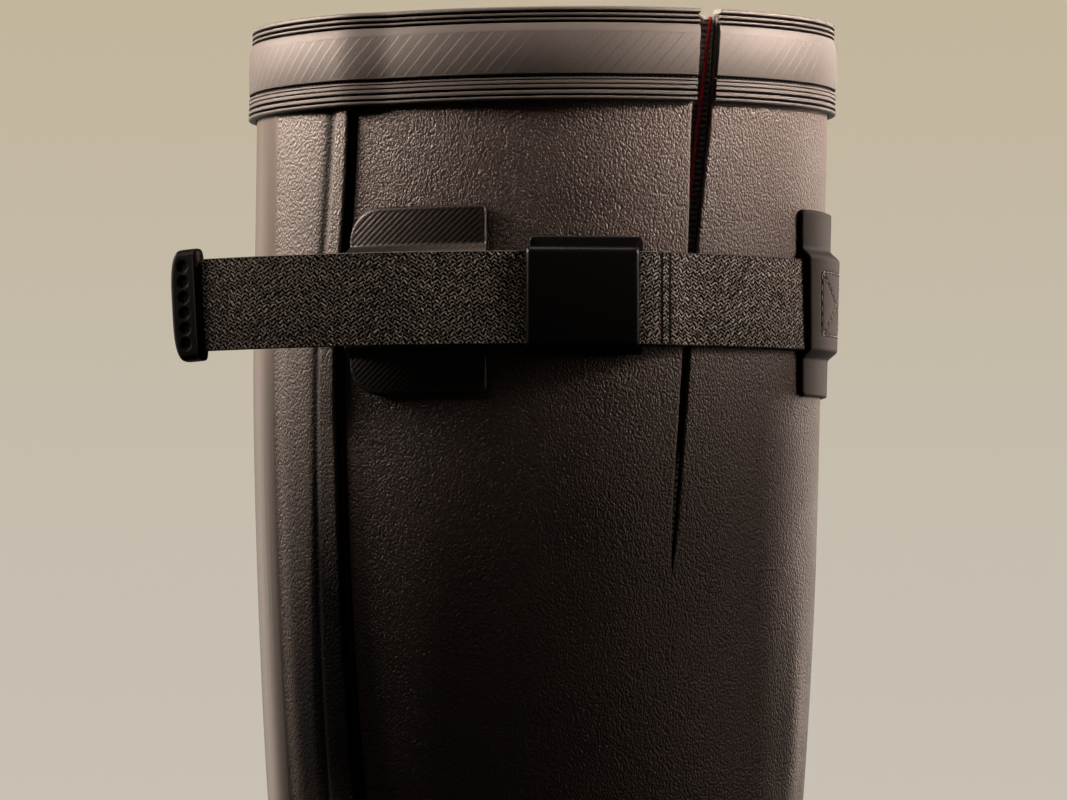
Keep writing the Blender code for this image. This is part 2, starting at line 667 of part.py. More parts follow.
def placed_box(name, size, bevel, matrix, material):
    """Box with rounded edges, placed by its object matrix."""
    mesh = bmesh.new()
    bmesh.ops.create_cube(mesh, size=1.0)
    bmesh.ops.scale(mesh, vec=Vector(size) * MM, verts=mesh.verts)
    bmesh.ops.bevel(mesh, geom=mesh.edges[:], offset=bevel * MM, segments=2, profile=0.5,
                    affect="EDGES", clamp_overlap=True)
    data = bpy.data.meshes.new(name)
    mesh.to_mesh(data)
    mesh.free()
    obj = add_object(name, data, material, False)
    obj.matrix_world = matrix
    return obj


def frame_matrix(place, run, out):
    """Matrix with X along the run, Y outwards and Z up at a place in millimetres."""
    up = run.cross(out)
    matrix = Matrix((run, out, up)).transposed().to_4x4()
    matrix.translation = Vector(place) * MM
    return matrix


def make_end_tab(place, out, low):
    """Moulded tab on the strap's free end with a slot for it and a row of blind holes."""
    run = Vector((-out.y, out.x, 0.0))
    middle = place - run * 3.4 + out * (STRAP_THICKNESS / 2.0) - Vector((0.0, 0.0, low))
    matrix = frame_matrix(middle, run, out) @ Matrix.Rotation(math.radians(TAB_TILT), 4, "Y")
    mesh = bmesh.new()
    edge = TAB_WIDTH / 2.0
    half = TAB_HEIGHT / 2.0
    outline = [(edge, -half), (edge, half)]
    for i in range(9):
        turn = math.pi * (0.5 + i / 8.0)
        outline.append((edge - 5.1 + 4.8 * math.cos(turn), (half - 1.0) * math.sin(turn)))
    ring = [mesh.verts.new(Vector((x, -TAB_THICKNESS / 2.0, z)) * MM) for x, z in outline]
    face = mesh.faces.new(ring)
    raised = bmesh.ops.extrude_face_region(mesh, geom=[face])
    top = [item for item in raised["geom"] if isinstance(item, bmesh.types.BMVert)]
    bmesh.ops.translate(mesh, vec=Vector((0.0, TAB_THICKNESS, 0.0)) * MM, verts=top)
    bmesh.ops.recalc_face_normals(mesh, faces=mesh.faces)
    data = bpy.data.meshes.new("strap_end_tab")
    mesh.to_mesh(data)
    mesh.free()
    tab = add_object("strap_end_tab", data, "tab_plastic", False)
    tab.matrix_world = matrix
    cut = bmesh.new()
    slot = Matrix.Diagonal((10.0 * MM, (STRAP_THICKNESS + 0.7) * MM, (STRAP_WIDTH + 1.6) * MM, 1.0))
    bmesh.ops.create_cube(cut, size=1.0, matrix=Matrix.Translation((7.2 * MM, 0.0, 0.0)) @ slot)
    for i in range(TAB_HOLES):
        rise = (i - (TAB_HOLES - 1) / 2.0) * HOLE_PITCH
        spot = Matrix.Translation(Vector((-0.2, TAB_THICKNESS / 2.0, rise)) * MM)
        lay = Matrix.Rotation(math.pi / 2.0, 4, "X")
        bmesh.ops.create_cone(cut, cap_ends=True, segments=10, radius1=HOLE_RADIUS * MM,
                              radius2=HOLE_RADIUS * MM, depth=1.2 * MM, matrix=spot @ lay)
    cutter = bpy.data.meshes.new("tab_cutter")
    cut.to_mesh(cutter)
    cut.free()
    carve(tab, cutter)


def make_buckle():
    """Plate against the shaft and a channel-shaped cover over the strap."""
    centre, run, out = buckle_frame()
    plate = centre + out * (PLATE_OFF + PLATE_THICKNESS / 2.0) + run * PLATE_SHIFT
    plate.z += 0.9
    placed_box("buckle_base", (BUCKLE_LENGTH, PLATE_THICKNESS, 30.4), 0.4,
               frame_matrix(plate, run, out), "buckle_plastic")
    deep = STRAP_THICKNESS + 0.6 + 1.6
    cover = centre + out * (STRAP_OFF + deep / 2.0) - run * PLATE_SHIFT
    lid = placed_box("buckle_cover", (BUCKLE_LENGTH - 0.6, deep, COVER_HEIGHT), 0.7,
                     frame_matrix(cover, run, out), "buckle_plastic")
    cut = bmesh.new()
    tall = STRAP_THICKNESS + 0.6
    size = Matrix.Diagonal((60.0 * MM, 2.0 * tall * MM, (STRAP_WIDTH + 0.6) * MM, 1.0))
    bmesh.ops.create_cube(cut, size=1.0, matrix=Matrix.Translation((0.0, -deep / 2.0 * MM, 0.0)) @ size)
    cutter = bpy.data.meshes.new("cover_cutter")
    cut.to_mesh(cutter)
    cut.free()
    carve(lid, cutter)


for old in list(bpy.data.objects):
    bpy.data.objects.remove(old)

make_upper()
make_outsole()
make_insole()
make_collar()
make_back_panel()
make_gusset()
anchor_pad("rear_anchor", 3.0, (-18.8, 20.6), (9.5, 2.0), "anchor_rubber")
anchor_pad("front_anchor", 107.5, (0.0, 40.0), (2.0, 9.5), "front_anchor_rubber")
make_straps()
make_buckle()
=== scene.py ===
"""Looks of the right rubber boot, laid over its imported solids.

Tables are in millimetres and meshes in metres. X runs to the toe, +Y to the inner side of the
foot, Z up, as in the frame. Most pieces are grids worked out over the boot's own surface, whose
two parameters are the level up the boot and the turn around it. The straps, the tip and the
buckle follow the strap's own line.
"""

import math
from collections import namedtuple

import bmesh
import bpy
import numpy as np
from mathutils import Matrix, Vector


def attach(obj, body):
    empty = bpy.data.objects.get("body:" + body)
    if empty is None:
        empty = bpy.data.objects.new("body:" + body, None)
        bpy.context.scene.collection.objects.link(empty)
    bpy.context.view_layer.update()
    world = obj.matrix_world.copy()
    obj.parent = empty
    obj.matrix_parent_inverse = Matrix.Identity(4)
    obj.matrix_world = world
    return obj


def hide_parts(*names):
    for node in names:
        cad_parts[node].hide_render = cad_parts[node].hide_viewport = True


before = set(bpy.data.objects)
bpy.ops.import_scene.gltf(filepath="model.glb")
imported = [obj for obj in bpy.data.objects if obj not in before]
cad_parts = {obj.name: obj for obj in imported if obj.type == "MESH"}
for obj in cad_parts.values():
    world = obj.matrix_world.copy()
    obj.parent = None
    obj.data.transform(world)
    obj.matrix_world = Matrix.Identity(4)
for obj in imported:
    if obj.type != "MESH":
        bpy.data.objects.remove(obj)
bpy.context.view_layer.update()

MM = 0.001
BODY = "root"

# Sizes of the boot, as in its solids
LAST_LENGTH = 291.0
HEEL_BACK = -35.0
BALL_WIDTH = 106.0
INSTEP_HEIGHT = 121.0
BOOT_HEIGHT = 410.6
HEEL_HEIGHT = 30.0
BALL_HEIGHT = 15.0
TOE_HEIGHT = 23.0
TOE_SPRING = 11.0
WALL = 2.4
GAP = 0.35
# Height from which the grids follow heights up the shaft instead of the foot's levels
SHAFT_FOOT = 139.0
# Bed of the sole: start and length of its fall from heel to ball, and of its rise to the toe
SHANK_START = 15.0
SHANK_LENGTH = 125.0
TOE_START = 165.0
TOE_LENGTH = 115.0
# Toe spring of the tread: start, length and power of its rise
SPRING_START = 196.0
SPRING_LENGTH = 66.0
SPRING_POWER = 1.6
# Distance that stands for well away from a lip, a seam or a sewn line
FAR = 9.0
# Points closer than this are merged, metres; edges bent more than this stay sharp, degrees
MERGE = 0.000002
SHARP_ANGLE = 58.0

# Collar, its middle below the rim, and the laps on its flat band: middle below the rim, half width
COLLAR_HEIGHT = 25.2
RIM_COVER = 1.5
COLLAR_MIDDLE = 12.0
LAP_MIDDLE = 12.4
LAP_HALF = 5.5
# Carry of the collar over the rear panel: rise, and arcs from the back where it starts to fall
# and where it is gone
CARRY_RISE = 2.75
CARRY_ARCS = (50.5, 66.0)
# Slit, and the rounding of its lips: outer and inner radius, and length over which they grow
SLIT_END_HEIGHT = 257.0
SLIT_TOP_X = 82.5
SLIT_END_X = 72.5
LIP_OUTER = 0.8
LIP_INNER = 0.5
LIP_GROWTH = 16.0

# Rear panel: half width and edge of its smooth strip. Open seam beside it in the shaft: middle,
# spread near the collar, half width and depth
PANEL_HALF = 49.5
STRIP_HALF = 24.4
SEAM_MIDDLE = 50.2
SEAM_SPREAD = 3.4
SEAM_HALF = 0.65
SEAM_DEPTH = 1.2
# Level of the tables where the seam starts, and over how much of a level it grows
SEAM_FOOT = 0.75
SEAM_GROWTH = 0.2
# Height from which the panel's edges run apart, and over how much height
SPREAD_START = 312.0
SPREAD_LENGTH = 75.0
# Section of the rear panel: rise of the strip over the shaft, step down from it and the step's width,
# start and depth of the field's fall, rise of the border and its width, dip of the valley, width
# and fall of the round edge
STRIP_RISE = 2.7
STRIP_STEP = 0.3
STEP_WIDTH = 3.0
FIELD_START = 29.0
FIELD_FALL = 0.75
BORDER_RISE = 0.8
BORDER_SLOPE = 2.2
VALLEY_DIP = 0.3
EDGE_WIDTH = 1.1
EDGE_FALL = 1.2
# Height below which painted shade darkens the rear panel's outer side
PANEL_SHADED = 312.0
# Width of the panel's raised border: heights, widths
PANEL_BORDER = ((200.0, 240.0, 300.0, 385.0), (8.8, 8.0, 6.3, 4.2))

# Strap, buckle and patches
STRAP_WIDTH = 25.0
STRAP_THICKNESS = 1.6
STRAP_HEIGHT = 332.3
BUCKLE_X = 48.6
BUCKLE_LENGTH = 31.0
BASE_HEIGHT = 31.8
BASE_RISE = 0.75
COVER_HEIGHT = 27.4
PLATE_SHIFT = 0.7
PLATE_OFF = 0.6
PLATE_THICKNESS = 1.8
STRAP_OFF = PLATE_OFF + PLATE_THICKNESS + 0.3
PATCH_HEIGHT = 51.0
PATCH_THICKNESS = 1.4
PATCH_EDGE = 0.7
REAR_PATCH_X = 3.0
FRONT_PATCH_X = 107.5
# Room under a patch for the strap's end: rise, half width, and width over which it eases out
TUNNEL = 2.6
TUNNEL_HALF = 15.4
TUNNEL_EASE = 3.2
# Sewn lines across the strap ahead of the buckle, and the short webbing's end, along the length
STRAP_SEAMS = (69.4, 71.5)
SHORT_END_X = 8.0
# Free end of the strap: length past the buckle, radius of its curl, droop at its tip
FREE_END = 89.5
FREE_RADIUS = 150.0
FREE_DROOP = 1.2
# Tab on the free end: tilt in degrees, sizes, its row of holes, then its overlap with the strap,
# the bulge of its left side and the width of its domed edge
TAB_TILT = 3.6
TAB_WIDTH = 9.9
TAB_HEIGHT = 30.6
TAB_THICKNESS = 4.8
TAB_HOLES = 6
HOLE_PITCH = 4.2
HOLE_RADIUS = 1.7
HOLE_DEPTH = 0.75
HOLE_SHIFT = 0.7
TAB_OVERLAP = 3.4
TAB_BULGE = 0.6
TAB_DOME = 1.9

# One closed loop of the upper per row, from the sole up.
# back, front: ends of the loop in percent of LAST_LENGTH from the heel
# back_z, front_z: heights in percent of INSTEP_HEIGHT (foot) or BOOT_HEIGHT (shaft)
# swing: shift of the front end to the inner side, mm
# back_round, front_round: radii of the two ends, mm
# rear and fore: half widths at REAR_SHARE and FORE_SHARE of the loop, outer and inner side, in
# percent of BALL_WIDTH
REAR_SHARE = 0.35
FORE_SHARE = 0.68
Section = namedtuple("Section", "name back back_z front front_z swing back_round "
                                "rear_out rear_in fore_out fore_in front_round")
FOOT_SECTIONS = [
    Section("feather", 0.0, 25.0, 100.0, 18.2, 5.0, 34.0, 38.7, 32.1, 51.9, 46.2, 40.0),
    Section("rand", -0.9, 38.0, 99.8, 32.0, 5.0, 35.0, 40.1, 34.9, 53.3, 48.1, 41.0),
    Section("toe box", -1.0, 51.2, 96.8, 45.5, 5.0, 35.0, 39.6, 36.8, 51.4, 47.2, 34.0),
    Section("vamp", -0.2, 67.8, 88.5, 57.4, 4.0, 35.0, 38.7, 37.3, 43.4, 40.6, 24.0),
    Section("low instep", 0.9, 84.3, 75.5, 67.0, 3.0, 35.0, 38.7, 37.7, 36.3, 34.4, 20.0),
    Section("instep", 1.4, 100.8, 61.5, 82.0, 2.0, 35.0, 39.6, 38.7, 36.3, 35.4, 24.0),
    Section("throat", 1.3, 118.2, 51.8, 105.0, 1.0, 36.0, 40.6, 39.6, 38.7, 37.7, 34.0),
]
SHAFT_SECTIONS = [
    Section("ankle", 0.6, 40.7, 48.7, 38.8, 0.0, 38.0, 42.9, 42.0, 41.0, 40.1, 38.0),
    Section("low shaft", -0.4, 48.3, 50.0, 47.8, 0.0, 42.0, 47.2, 46.7, 46.2, 45.8, 39.0),
    Section("calf", -1.3, 61.0, 51.1, 61.0, 0.0, 44.0, 50.5, 50.0, 49.5, 49.1, 40.0),
    Section("upper calf", -1.8, 74.9, 51.7, 75.1, 0.0, 45.0, 52.4, 51.9, 51.4, 50.9, 41.0),
    Section("under collar", -1.6, 87.3, 52.2, 87.7, 0.0, 45.0, 52.8, 52.4, 51.9, 51.4, 42.0),
    Section("rim", -1.4, 99.8, 52.6, 100.2, 0.0, 45.0, 52.8, 52.4, 51.9, 51.4, 42.0),
]
SHAFT_LEVEL = float(len(FOOT_SECTIONS))
RIM_LEVEL = float(len(FOOT_SECTIONS) + len(SHAFT_SECTIONS) - 1)

# Half gap of the slit over the height
Slit = namedtuple("Slit", "height half_gap")
SLIT = [Slit(257.0, 0.0), Slit(268.0, 0.6), Slit(283.0, 0.8), Slit(318.0, 0.9),
        Slit(345.0, 1.2), Slit(360.0, 1.8), Slit(377.0, 2.7), Slit(410.0, 3.0)]

# Soft folds of the wall: middle around the boot and up it, reach each way, lean, rise outwards
Crease = namedtuple("Crease", "theta height turn tall lean rise")
CREASES = [
    Crease(math.pi, 158.0, 0.85, 8.0, 0.0, -1.5), Crease(math.pi, 142.0, 0.75, 7.0, 0.0, 1.0),
    Crease(math.pi, 126.0, 0.75, 8.0, 0.0, -1.4), Crease(math.pi, 108.0, 0.60, 7.0, 0.0, 0.7),
    Crease(0.0, 146.0, 0.50, 10.0, 0.0, -0.7), Crease(1.45, 150.0, 0.45, 9.0, 16.0, -0.9),
    Crease(-1.45, 150.0, 0.45, 9.0, -16.0, -0.9), Crease(2.76, 214.0, 0.09, 30.0, 0.0, 0.9),
    Crease(2.40, 205.0, 0.20, 34.0, 0.0, -0.5), Crease(2.05, 262.0, 0.16, 30.0, 0.0, -0.35),
    Crease(1.55, 232.0, 0.40, 26.0, 0.0, 0.35), Crease(1.05, 300.0, 0.25, 40.0, 0.0, -0.25),
]

# Dark scuffs above the buckle: place along the length, height, size; tone of one and of both
SCUFFS = [(54.6, 359.4, 1.5), (51.8, 361.0, 1.2)]
SCUFF_TONE = 0.75
SCUFF_DARKEST = 0.9

# Middle line of the folded gusset: arc from its folded edge, depth behind the upper's inner face
Fold = namedtuple("Fold", "arc depth")
GUSSET = [Fold(-13.0, 0.9), Fold(-8.0, 0.9), Fold(-4.4, 2.2), Fold(-1.8, 3.6), Fold(1.5, 3.9),
          Fold(9.0, 3.9), Fold(10.2, 3.1), Fold(9.0, 2.3), Fold(1.3, 2.3), Fold(0.2, 1.6),
          Fold(1.3, 0.9), Fold(9.0, 0.9)]
GUSSET_THICKNESS = 0.8
GUSSET_FOOT = 262.0
GUSSET_TOP = 409.2
# Width of the fold at the gusset's foot as a share of that at its top
GUSSET_NARROW = 0.45
# Folded edge ahead of the slit's middle at the rim, and its lean per millimetre of height
FOLD_ARC = 4.4
FOLD_LEAN = 0.07
# Painted light on the cloth: middle below its top, and reach
PAINTED_LIGHT_BELOW = 8.0
PAINTED_LIGHT_REACH = 6.0
# Cord: radius, distance from strand to strand along it, place behind the folded edge and behind
# the upper's inner face
CORD_RADIUS = 0.5
STRAND_PITCH = 2.4
CORD_ARC = 1.2
CORD_DEPTH = 1.3

# Cross-section of the collar without its grooves: depth below the rim, distance off the shaft,
# and whether the point is carried outwards where the collar passes over the rear panel
Rib = namedtuple("Rib", "depth off carried")
COLLAR_INSIDE = [Rib(COLLAR_HEIGHT, GAP, 1), Rib(RIM_COVER - 0.3, GAP, 1),
                 Rib(RIM_COVER - 0.3, -WALL, 0), Rib(0.3, -WALL, 0), Rib(0.08, -WALL + 0.2, 0),
                 Rib(0.0, -WALL + 0.5, 0)]
COLLAR_OUTSIDE = [Rib(0.0, 1.05, 1), Rib(0.1, 1.4, 1), Rib(0.4, 1.62, 1), Rib(4.4, 1.58, 1),
                  Rib(6.3, 2.2, 1), Rib(6.7, 2.3, 1), Rib(12.0, 2.4, 1), Rib(17.7, 2.25, 1),
                  Rib(18.1, 2.1, 1), Rib(18.25, 1.0, 1), Rib(19.0, 0.95, 1), Rib(19.15, 2.2, 1),
                  Rib(24.7, 2.35, 1), Rib(25.0, 2.2, 1), Rib(25.2, 1.6, 1)]
# Grooves moulded into the collar: depth below the rim, half width, depth into the rubber
Groove = namedtuple("Groove", "depth half deep")
COLLAR_GROOVES = [Groove(1.45, 0.37, 1.10), Groove(2.86, 0.37, 1.10), Groove(4.12, 0.35, 1.00),
                  Groove(19.80, 0.18, 0.40), Groove(20.95, 0.20, 0.50), Groove(22.30, 0.36, 1.20),
                  Groove(23.90, 0.34, 1.20)]
# Sunk ledge under the flat band: from and to, below the rim
COLLAR_STEP = (18.2, 19.1)

# Side of the sole as level of the upper beside it, distance off that, share of the way from the
# tread up to it, and height over that
SoleRing = namedtuple("SoleRing", "level off share rise")
SOLE = [
    SoleRing(0.0, 0.5, 1.0, -0.35), SoleRing(0.4, 0.5, 1.0, 0.0), SoleRing(0.72, 0.5, 1.0, 0.0),
    SoleRing(0.75, 0.8, 1.0, 0.2), SoleRing(0.75, 1.5, 1.0, 0.38), SoleRing(0.75, 2.2, 1.0, 0.3),
    SoleRing(0.74, 2.8, 1.0, 0.05), SoleRing(0.70, 3.05, 1.0, 0.0), SoleRing(0.58, 3.1, 1.0, 0.0),
    SoleRing(0.55, 2.75, 1.0, 0.0), SoleRing(0.50, 2.75, 1.0, 0.0), SoleRing(0.47, 3.12, 1.0, 0.0),
    SoleRing(0.29, 3.2, 1.0, 0.0), SoleRing(0.25, 3.4, 1.0, 0.0), SoleRing(0.22, 4.5, 1.0, 0.1),
    SoleRing(0.19, 5.0, 1.0, 0.0), SoleRing(0.1, 5.25, 1.0, 0.0), SoleRing(0.0, 5.2, 1.0, -0.6),
    SoleRing(0.0, 4.9, 1.0, -1.4), SoleRing(0.0, 3.95, 1.0, -2.0), SoleRing(0.0, 3.8, 0.8, 0.0),
    SoleRing(0.0, 3.75, 0.5, 0.0), SoleRing(0.0, 3.65, 0.0, 2.4), SoleRing(0.0, 3.3, 0.0, 0.7),
    SoleRing(0.0, 2.2, 0.0, 0.0),
]
# Channels between the lugs: middle along the length, turn from square in degrees
Channel = namedtuple("Channel", "x turn")
CHANNELS = [Channel(-20.0, 12.0), Channel(-3.0, 12.0), Channel(14.0, 12.0), Channel(128.0, -14.0),
            Channel(146.0, -14.0), Channel(164.0, -14.0), Channel(182.0, -14.0),
            Channel(200.0, -14.0), Channel(218.0, -14.0), Channel(235.0, -14.0)]
CHANNEL_WIDTH = 7.0
CHANNEL_DEPTH = 4.5
CHANNEL_EASE = 1.4
SPINE = 7.0
FOREFOOT_X = 150.0
# Underside of the arch: place along the length and height over the floor
Arch = namedtuple("Arch", "x height")
ARCH = [Arch(35.5, 0.0), Arch(38.0, 8.0), Arch(44.0, 11.0), Arch(84.0, 6.5), Arch(112.0, 0.0)]

# Side of the insole: inset from the upper's inner face, height over the bed
INSOLE_RINGS = ((0.9, 0.0), (0.5, 0.3), (0.4, 1.2), (0.4, 2.6), (0.7, 3.3), (1.5, 3.7))
# Dish under the heel: depth, middle along the length, reach
DISH_DEPTH = 1.2
DISH_X = 5.0
DISH_REACH = 34.0

# Camera of the photograph: place, tilt up, and lens on a 36 mm sensor
CAMERA_PLACE = (35.3, -1335.0, 265.0)
CAMERA_TILT = 1.8
CAMERA_LENS = 161.2
# Half of the sweep's arc behind the boot that reflections see, degrees
SWEEP_SEEN = 48.0
# Lights of the studio: place, aim and size in metres, power in watts, spread in degrees
Light = namedtuple("Light", "name place aim size power spread")
LIGHTS = [
    Light("softbox_right", (1.00, -0.07, 0.83), (0.035, 0.0, 0.80), (0.6, 0.2), 58.0, 52.0),
    Light("softbox_left", (-0.97, 0.01, 0.83), (0.035, 0.0, 0.80), (0.6, 0.2), 31.0, 52.0),
    Light("gridbox_right", (0.82, -0.18, 0.46), (0.07, 0.0, 0.22), (0.3, 0.3), 0.5, 90.0),
    Light("gridbox_left", (-0.50, -0.30, 0.92), (0.0, 0.0, 0.52), (0.28, 0.28), 0.15, 32.0),
    Light("strip_left", (-0.92, 0.36, 0.70), (-0.02, 0.0, 0.34), (0.4, 0.4), 0.78, 40.0),
    Light("strip_low_left", (-0.62, 0.80, 0.25), (-0.04, 0.0, 0.20), (0.3, 0.5), 0.55, 120.0),
    Light("strip_right", (0.75, 0.75, 0.50), (0.07, 0.0, 0.33), (0.3, 0.8), 6.8, 180.0),
    Light("softbox_top", (0.03, -0.08, 1.45), (0.03, -0.04, 0.33), (0.6, 0.4), 2.2, 90.0),
]


def hermite(knots, values, at):
    """Cubic through values at knots: each span blends its two ends and their mean slopes."""
    knots = np.asarray(knots, float)
    values = np.asarray(values, float)
    at = np.asarray(at, float)
    slopes = np.gradient(values, knots, axis=0)
    low = np.clip(np.searchsorted(knots, at, side="right") - 1, 0, len(knots) - 2)
    step = knots[low + 1] - knots[low]
    t = (at - knots[low]) / step
    if values.ndim > 1:
        t = t[..., None]
        step = step[..., None]
    a, b = values[low], values[low + 1]
    ma, mb = slopes[low] * step, slopes[low + 1] * step
    bend = (2 * a - 2 * b + ma + mb) * t ** 3 + (3 * b - 3 * a - 2 * ma - mb) * t ** 2
    return bend + ma * t + a


def smooth(t):
    """Ease from 0 to 1 for t from 0 to 1: three squares less two cubes."""
    t = np.clip(t, 0.0, 1.0)
    return t * t * (3.0 - 2.0 * t)


def bell(t):
    """Bell of height 1: e to the power of minus the square of the distance from its middle."""
    return np.exp(-t * t)


def table_column(name):
    """One column of the section tables in millimetres, foot first."""
    scale = {"back": LAST_LENGTH, "front": LAST_LENGTH, "rear_out": BALL_WIDTH,
             "rear_in": BALL_WIDTH, "fore_out": BALL_WIDTH, "fore_in": BALL_WIDTH}
    values = []
    for rows, height in ((FOOT_SECTIONS, INSTEP_HEIGHT), (SHAFT_SECTIONS, BOOT_HEIGHT)):
        for row in rows:
            unit = height if name.endswith("_z") else scale.get(name, 100.0)
            values.append(getattr(row, name) * unit / 100.0)
    return np.array(values)


COLUMN = {name: table_column(name) for name in Section._fields[1:]}
LEVELS = np.arange(RIM_LEVEL + 1.0)


def along(name, level):
    """Cubic through one column of the section tables at the given levels."""
    return hermite(LEVELS, COLUMN[name], level)


def bed(x):
    """Height of the sole's bed along the foot: heel seat, ball, toe, eased between them."""
    fall = (HEEL_HEIGHT - BALL_HEIGHT) * smooth((x - SHANK_START) / SHANK_LENGTH)
    return HEEL_HEIGHT - fall + (TOE_HEIGHT - BALL_HEIGHT) * smooth((x - TOE_START) / TOE_LENGTH)


def tread(x):
    """Height of the tread along the foot: flat, then the toe spring as a power of the length."""
    return TOE_SPRING * np.clip((x - SPRING_START) / SPRING_LENGTH, 0.0, 1.0) ** SPRING_POWER


def half_width(s, ends, rear, fore, length):
    """Half width along a loop: a cubic through its end radii and two given widths."""
    w0 = np.sqrt(ends[0] * length / 2.0)
    w3 = np.sqrt(ends[1] * length / 2.0)
    w1 = rear / (2.0 * math.sqrt(REAR_SHARE * (1.0 - REAR_SHARE)))
    w2 = fore / (2.0 * math.sqrt(FORE_SHARE * (1.0 - FORE_SHARE)))
    total = 0.0
    nodes = (0.0, REAR_SHARE, FORE_SHARE, 1.0)
    for i, w in enumerate((w0, w1, w2, w3)):
        term = w
        for j, place in enumerate(nodes):
            if j != i:
                term = term * (s - place) / (nodes[i] - place)
        total = total + term
    return total


def base_point(level, theta):
    """Point of the upper's outer face. theta 0 is the back, pi the front, outer side between.

    Each loop runs from back to front as half a cosine, its width a sine times the half width."""
    level, theta = np.broadcast_arrays(np.asarray(level, float), np.asarray(theta, float))
    s = (1.0 - np.cos(theta)) / 2.0
    back = HEEL_BACK + along("back", level)
    length = HEEL_BACK + along("front", level) - back
    ends = (along("back_round", level), along("front_round", level))
    outer = half_width(s, ends, along("rear_out", level), along("fore_out", level), length)
    inner = half_width(s, ends, along("rear_in", level), along("fore_in", level), length)
    side = np.sin(theta)
    x = back + length * s
    y = along("swing", level) * s ** 2 - side * np.where(side > 0.0, outer, inner)
    back_z = along("back_z", level)
    line = back_z + (along("front_z", level) - back_z) * s
    feather = COLUMN["back_z"][0] + (COLUMN["front_z"][0] - COLUMN["back_z"][0]) * s
    z = line + np.clip(1.0 - level, 0.0, 1.0) * (bed(x) + GAP - feather)
    return np.stack([x, y, z], axis=-1)


def relief(theta, height):
    """Soft folds of the wall: each is a bell around the boot times a bell up it."""
    total = 0.0
    for row in CREASES:
        turn = (theta - row.theta + math.pi) % (2.0 * math.pi) - math.pi
        rise = height - row.height - row.lean * turn
        total = total + row.rise * bell(turn / row.turn) * bell(rise / row.tall)
    return total


def surface(level, theta, off=0.0):
    """Point at a distance off the upper's outer face, along the face's own normal."""
    level, theta, off = np.broadcast_arrays(np.asarray(level, float), np.asarray(theta, float),
                                            np.asarray(off, float))
    step = 0.004
    up = base_point(np.minimum(level + step, RIM_LEVEL), theta)
    down = base_point(np.maximum(level - step, 0.0), theta)
    ahead = base_point(level, theta + step) - base_point(level, theta - step)
    normal = np.cross(ahead, up - down)
    normal /= np.linalg.norm(normal, axis=-1, keepdims=True)
    point = base_point(level, theta)
    return point + (off + relief(theta, point[..., 2]))[..., None] * normal


def level_at(height):
    """Level of the tables at a height of the shaft."""
    levels = np.linspace(SHAFT_LEVEL - 1.0, RIM_LEVEL, 400)
    heights = (along("back_z", levels) + along("front_z", levels)) / 2.0
    return np.interp(height, heights, levels)


def theta_at(level, x):
    """Angle on the outer side where the loop passes a place along the length."""
    back = HEEL_BACK + along("back", level)
    length = HEEL_BACK + along("front", level) - back
    return np.arccos(np.clip(1.0 - 2.0 * (x - back) / length, -1.0, 1.0))


def walk(levels, starts, arcs):
    """Angles reached by walking arcs along each level's loop from a start angle: the loop's
    running length, read backwards. One row of arcs per level."""
    levels = np.atleast_1d(np.asarray(levels, float))
    starts = np.broadcast_to(np.asarray(starts, float), levels.shape)
    arcs = np.broadcast_to(np.asarray(arcs, float), (len(levels), np.shape(arcs)[-1]))
    half_turn = 360
    angles = starts[:, None] + np.linspace(-math.pi, math.pi, 2 * half_turn + 1)
    points = base_point(levels[:, None], angles)
    steps = np.linalg.norm(np.diff(points, axis=1), axis=2)
    run = np.concatenate([np.zeros((len(levels), 1)), np.cumsum(steps, axis=1)], axis=1)
    run -= run[:, half_turn:half_turn + 1]
    return np.array([np.interp(a, r, t) for a, r, t in zip(arcs, run, angles)])


def slit_theta(height):
    """Angle of the slit's middle at a height: a straight line in the side view."""
    share = np.clip((height - SLIT_END_HEIGHT) / (BOOT_HEIGHT - SLIT_END_HEIGHT), 0.0, 1.0)
    x = SLIT_END_X + (SLIT_TOP_X - SLIT_END_X) * share
    return theta_at(level_at(height), x)


def slit_lips(heights):
    """Angles of the front lip, and of the rear lip a full turn on: half the gap each way."""
    half = np.interp(heights, [row.height for row in SLIT], [row.half_gap for row in SLIT])
    reach = walk(level_at(heights), slit_theta(heights), np.stack([-half, half], axis=1))
    return reach[:, 1], reach[:, 0] + 2.0 * math.pi


def running_length(points):
    """Length along rows of points, from 0 at each row's first point."""
    steps = np.linalg.norm(np.diff(points, axis=-2), axis=-1)
    return np.concatenate([np.zeros_like(steps[..., :1]), np.cumsum(steps, axis=-1)], axis=-1)


def numbers(rows, cols, start=0):
    """Grid of point numbers."""
    return start + np.arange(rows * cols).reshape(rows, cols)


def quads(grid, wrap=False):
    """Corner numbers of a grid's faces, closed along its columns if asked."""
    if wrap:
        grid = np.concatenate([grid, grid[:, :1]], axis=1)
    corners = [grid[:-1, :-1], grid[:-1, 1:], grid[1:, 1:], grid[1:, :-1]]
    return np.stack(corners, axis=-1).reshape(-1, 4)


def sheet_faces(rows, cols):
    """Faces of a closed sheet: outer grid, inner grid after it, and the four edges."""
    a = numbers(rows, cols)
    b = numbers(rows, cols, rows * cols)
    edges = ((a[0], b[0]), (a[-1], b[-1]), (a[:, 0], b[:, 0]), (a[:, -1], b[:, -1]))
    return np.concatenate([quads(a), quads(b)] + [quads(np.stack(edge)) for edge in edges])


def sweep_faces(count, around):
    """Faces of a closed bar through rings of points: its sides, and its two end caps."""
    grid = numbers(count, around)
    return [(quads(grid, wrap=True), 0), (grid[:1], 0), (grid[-1:], 0)]


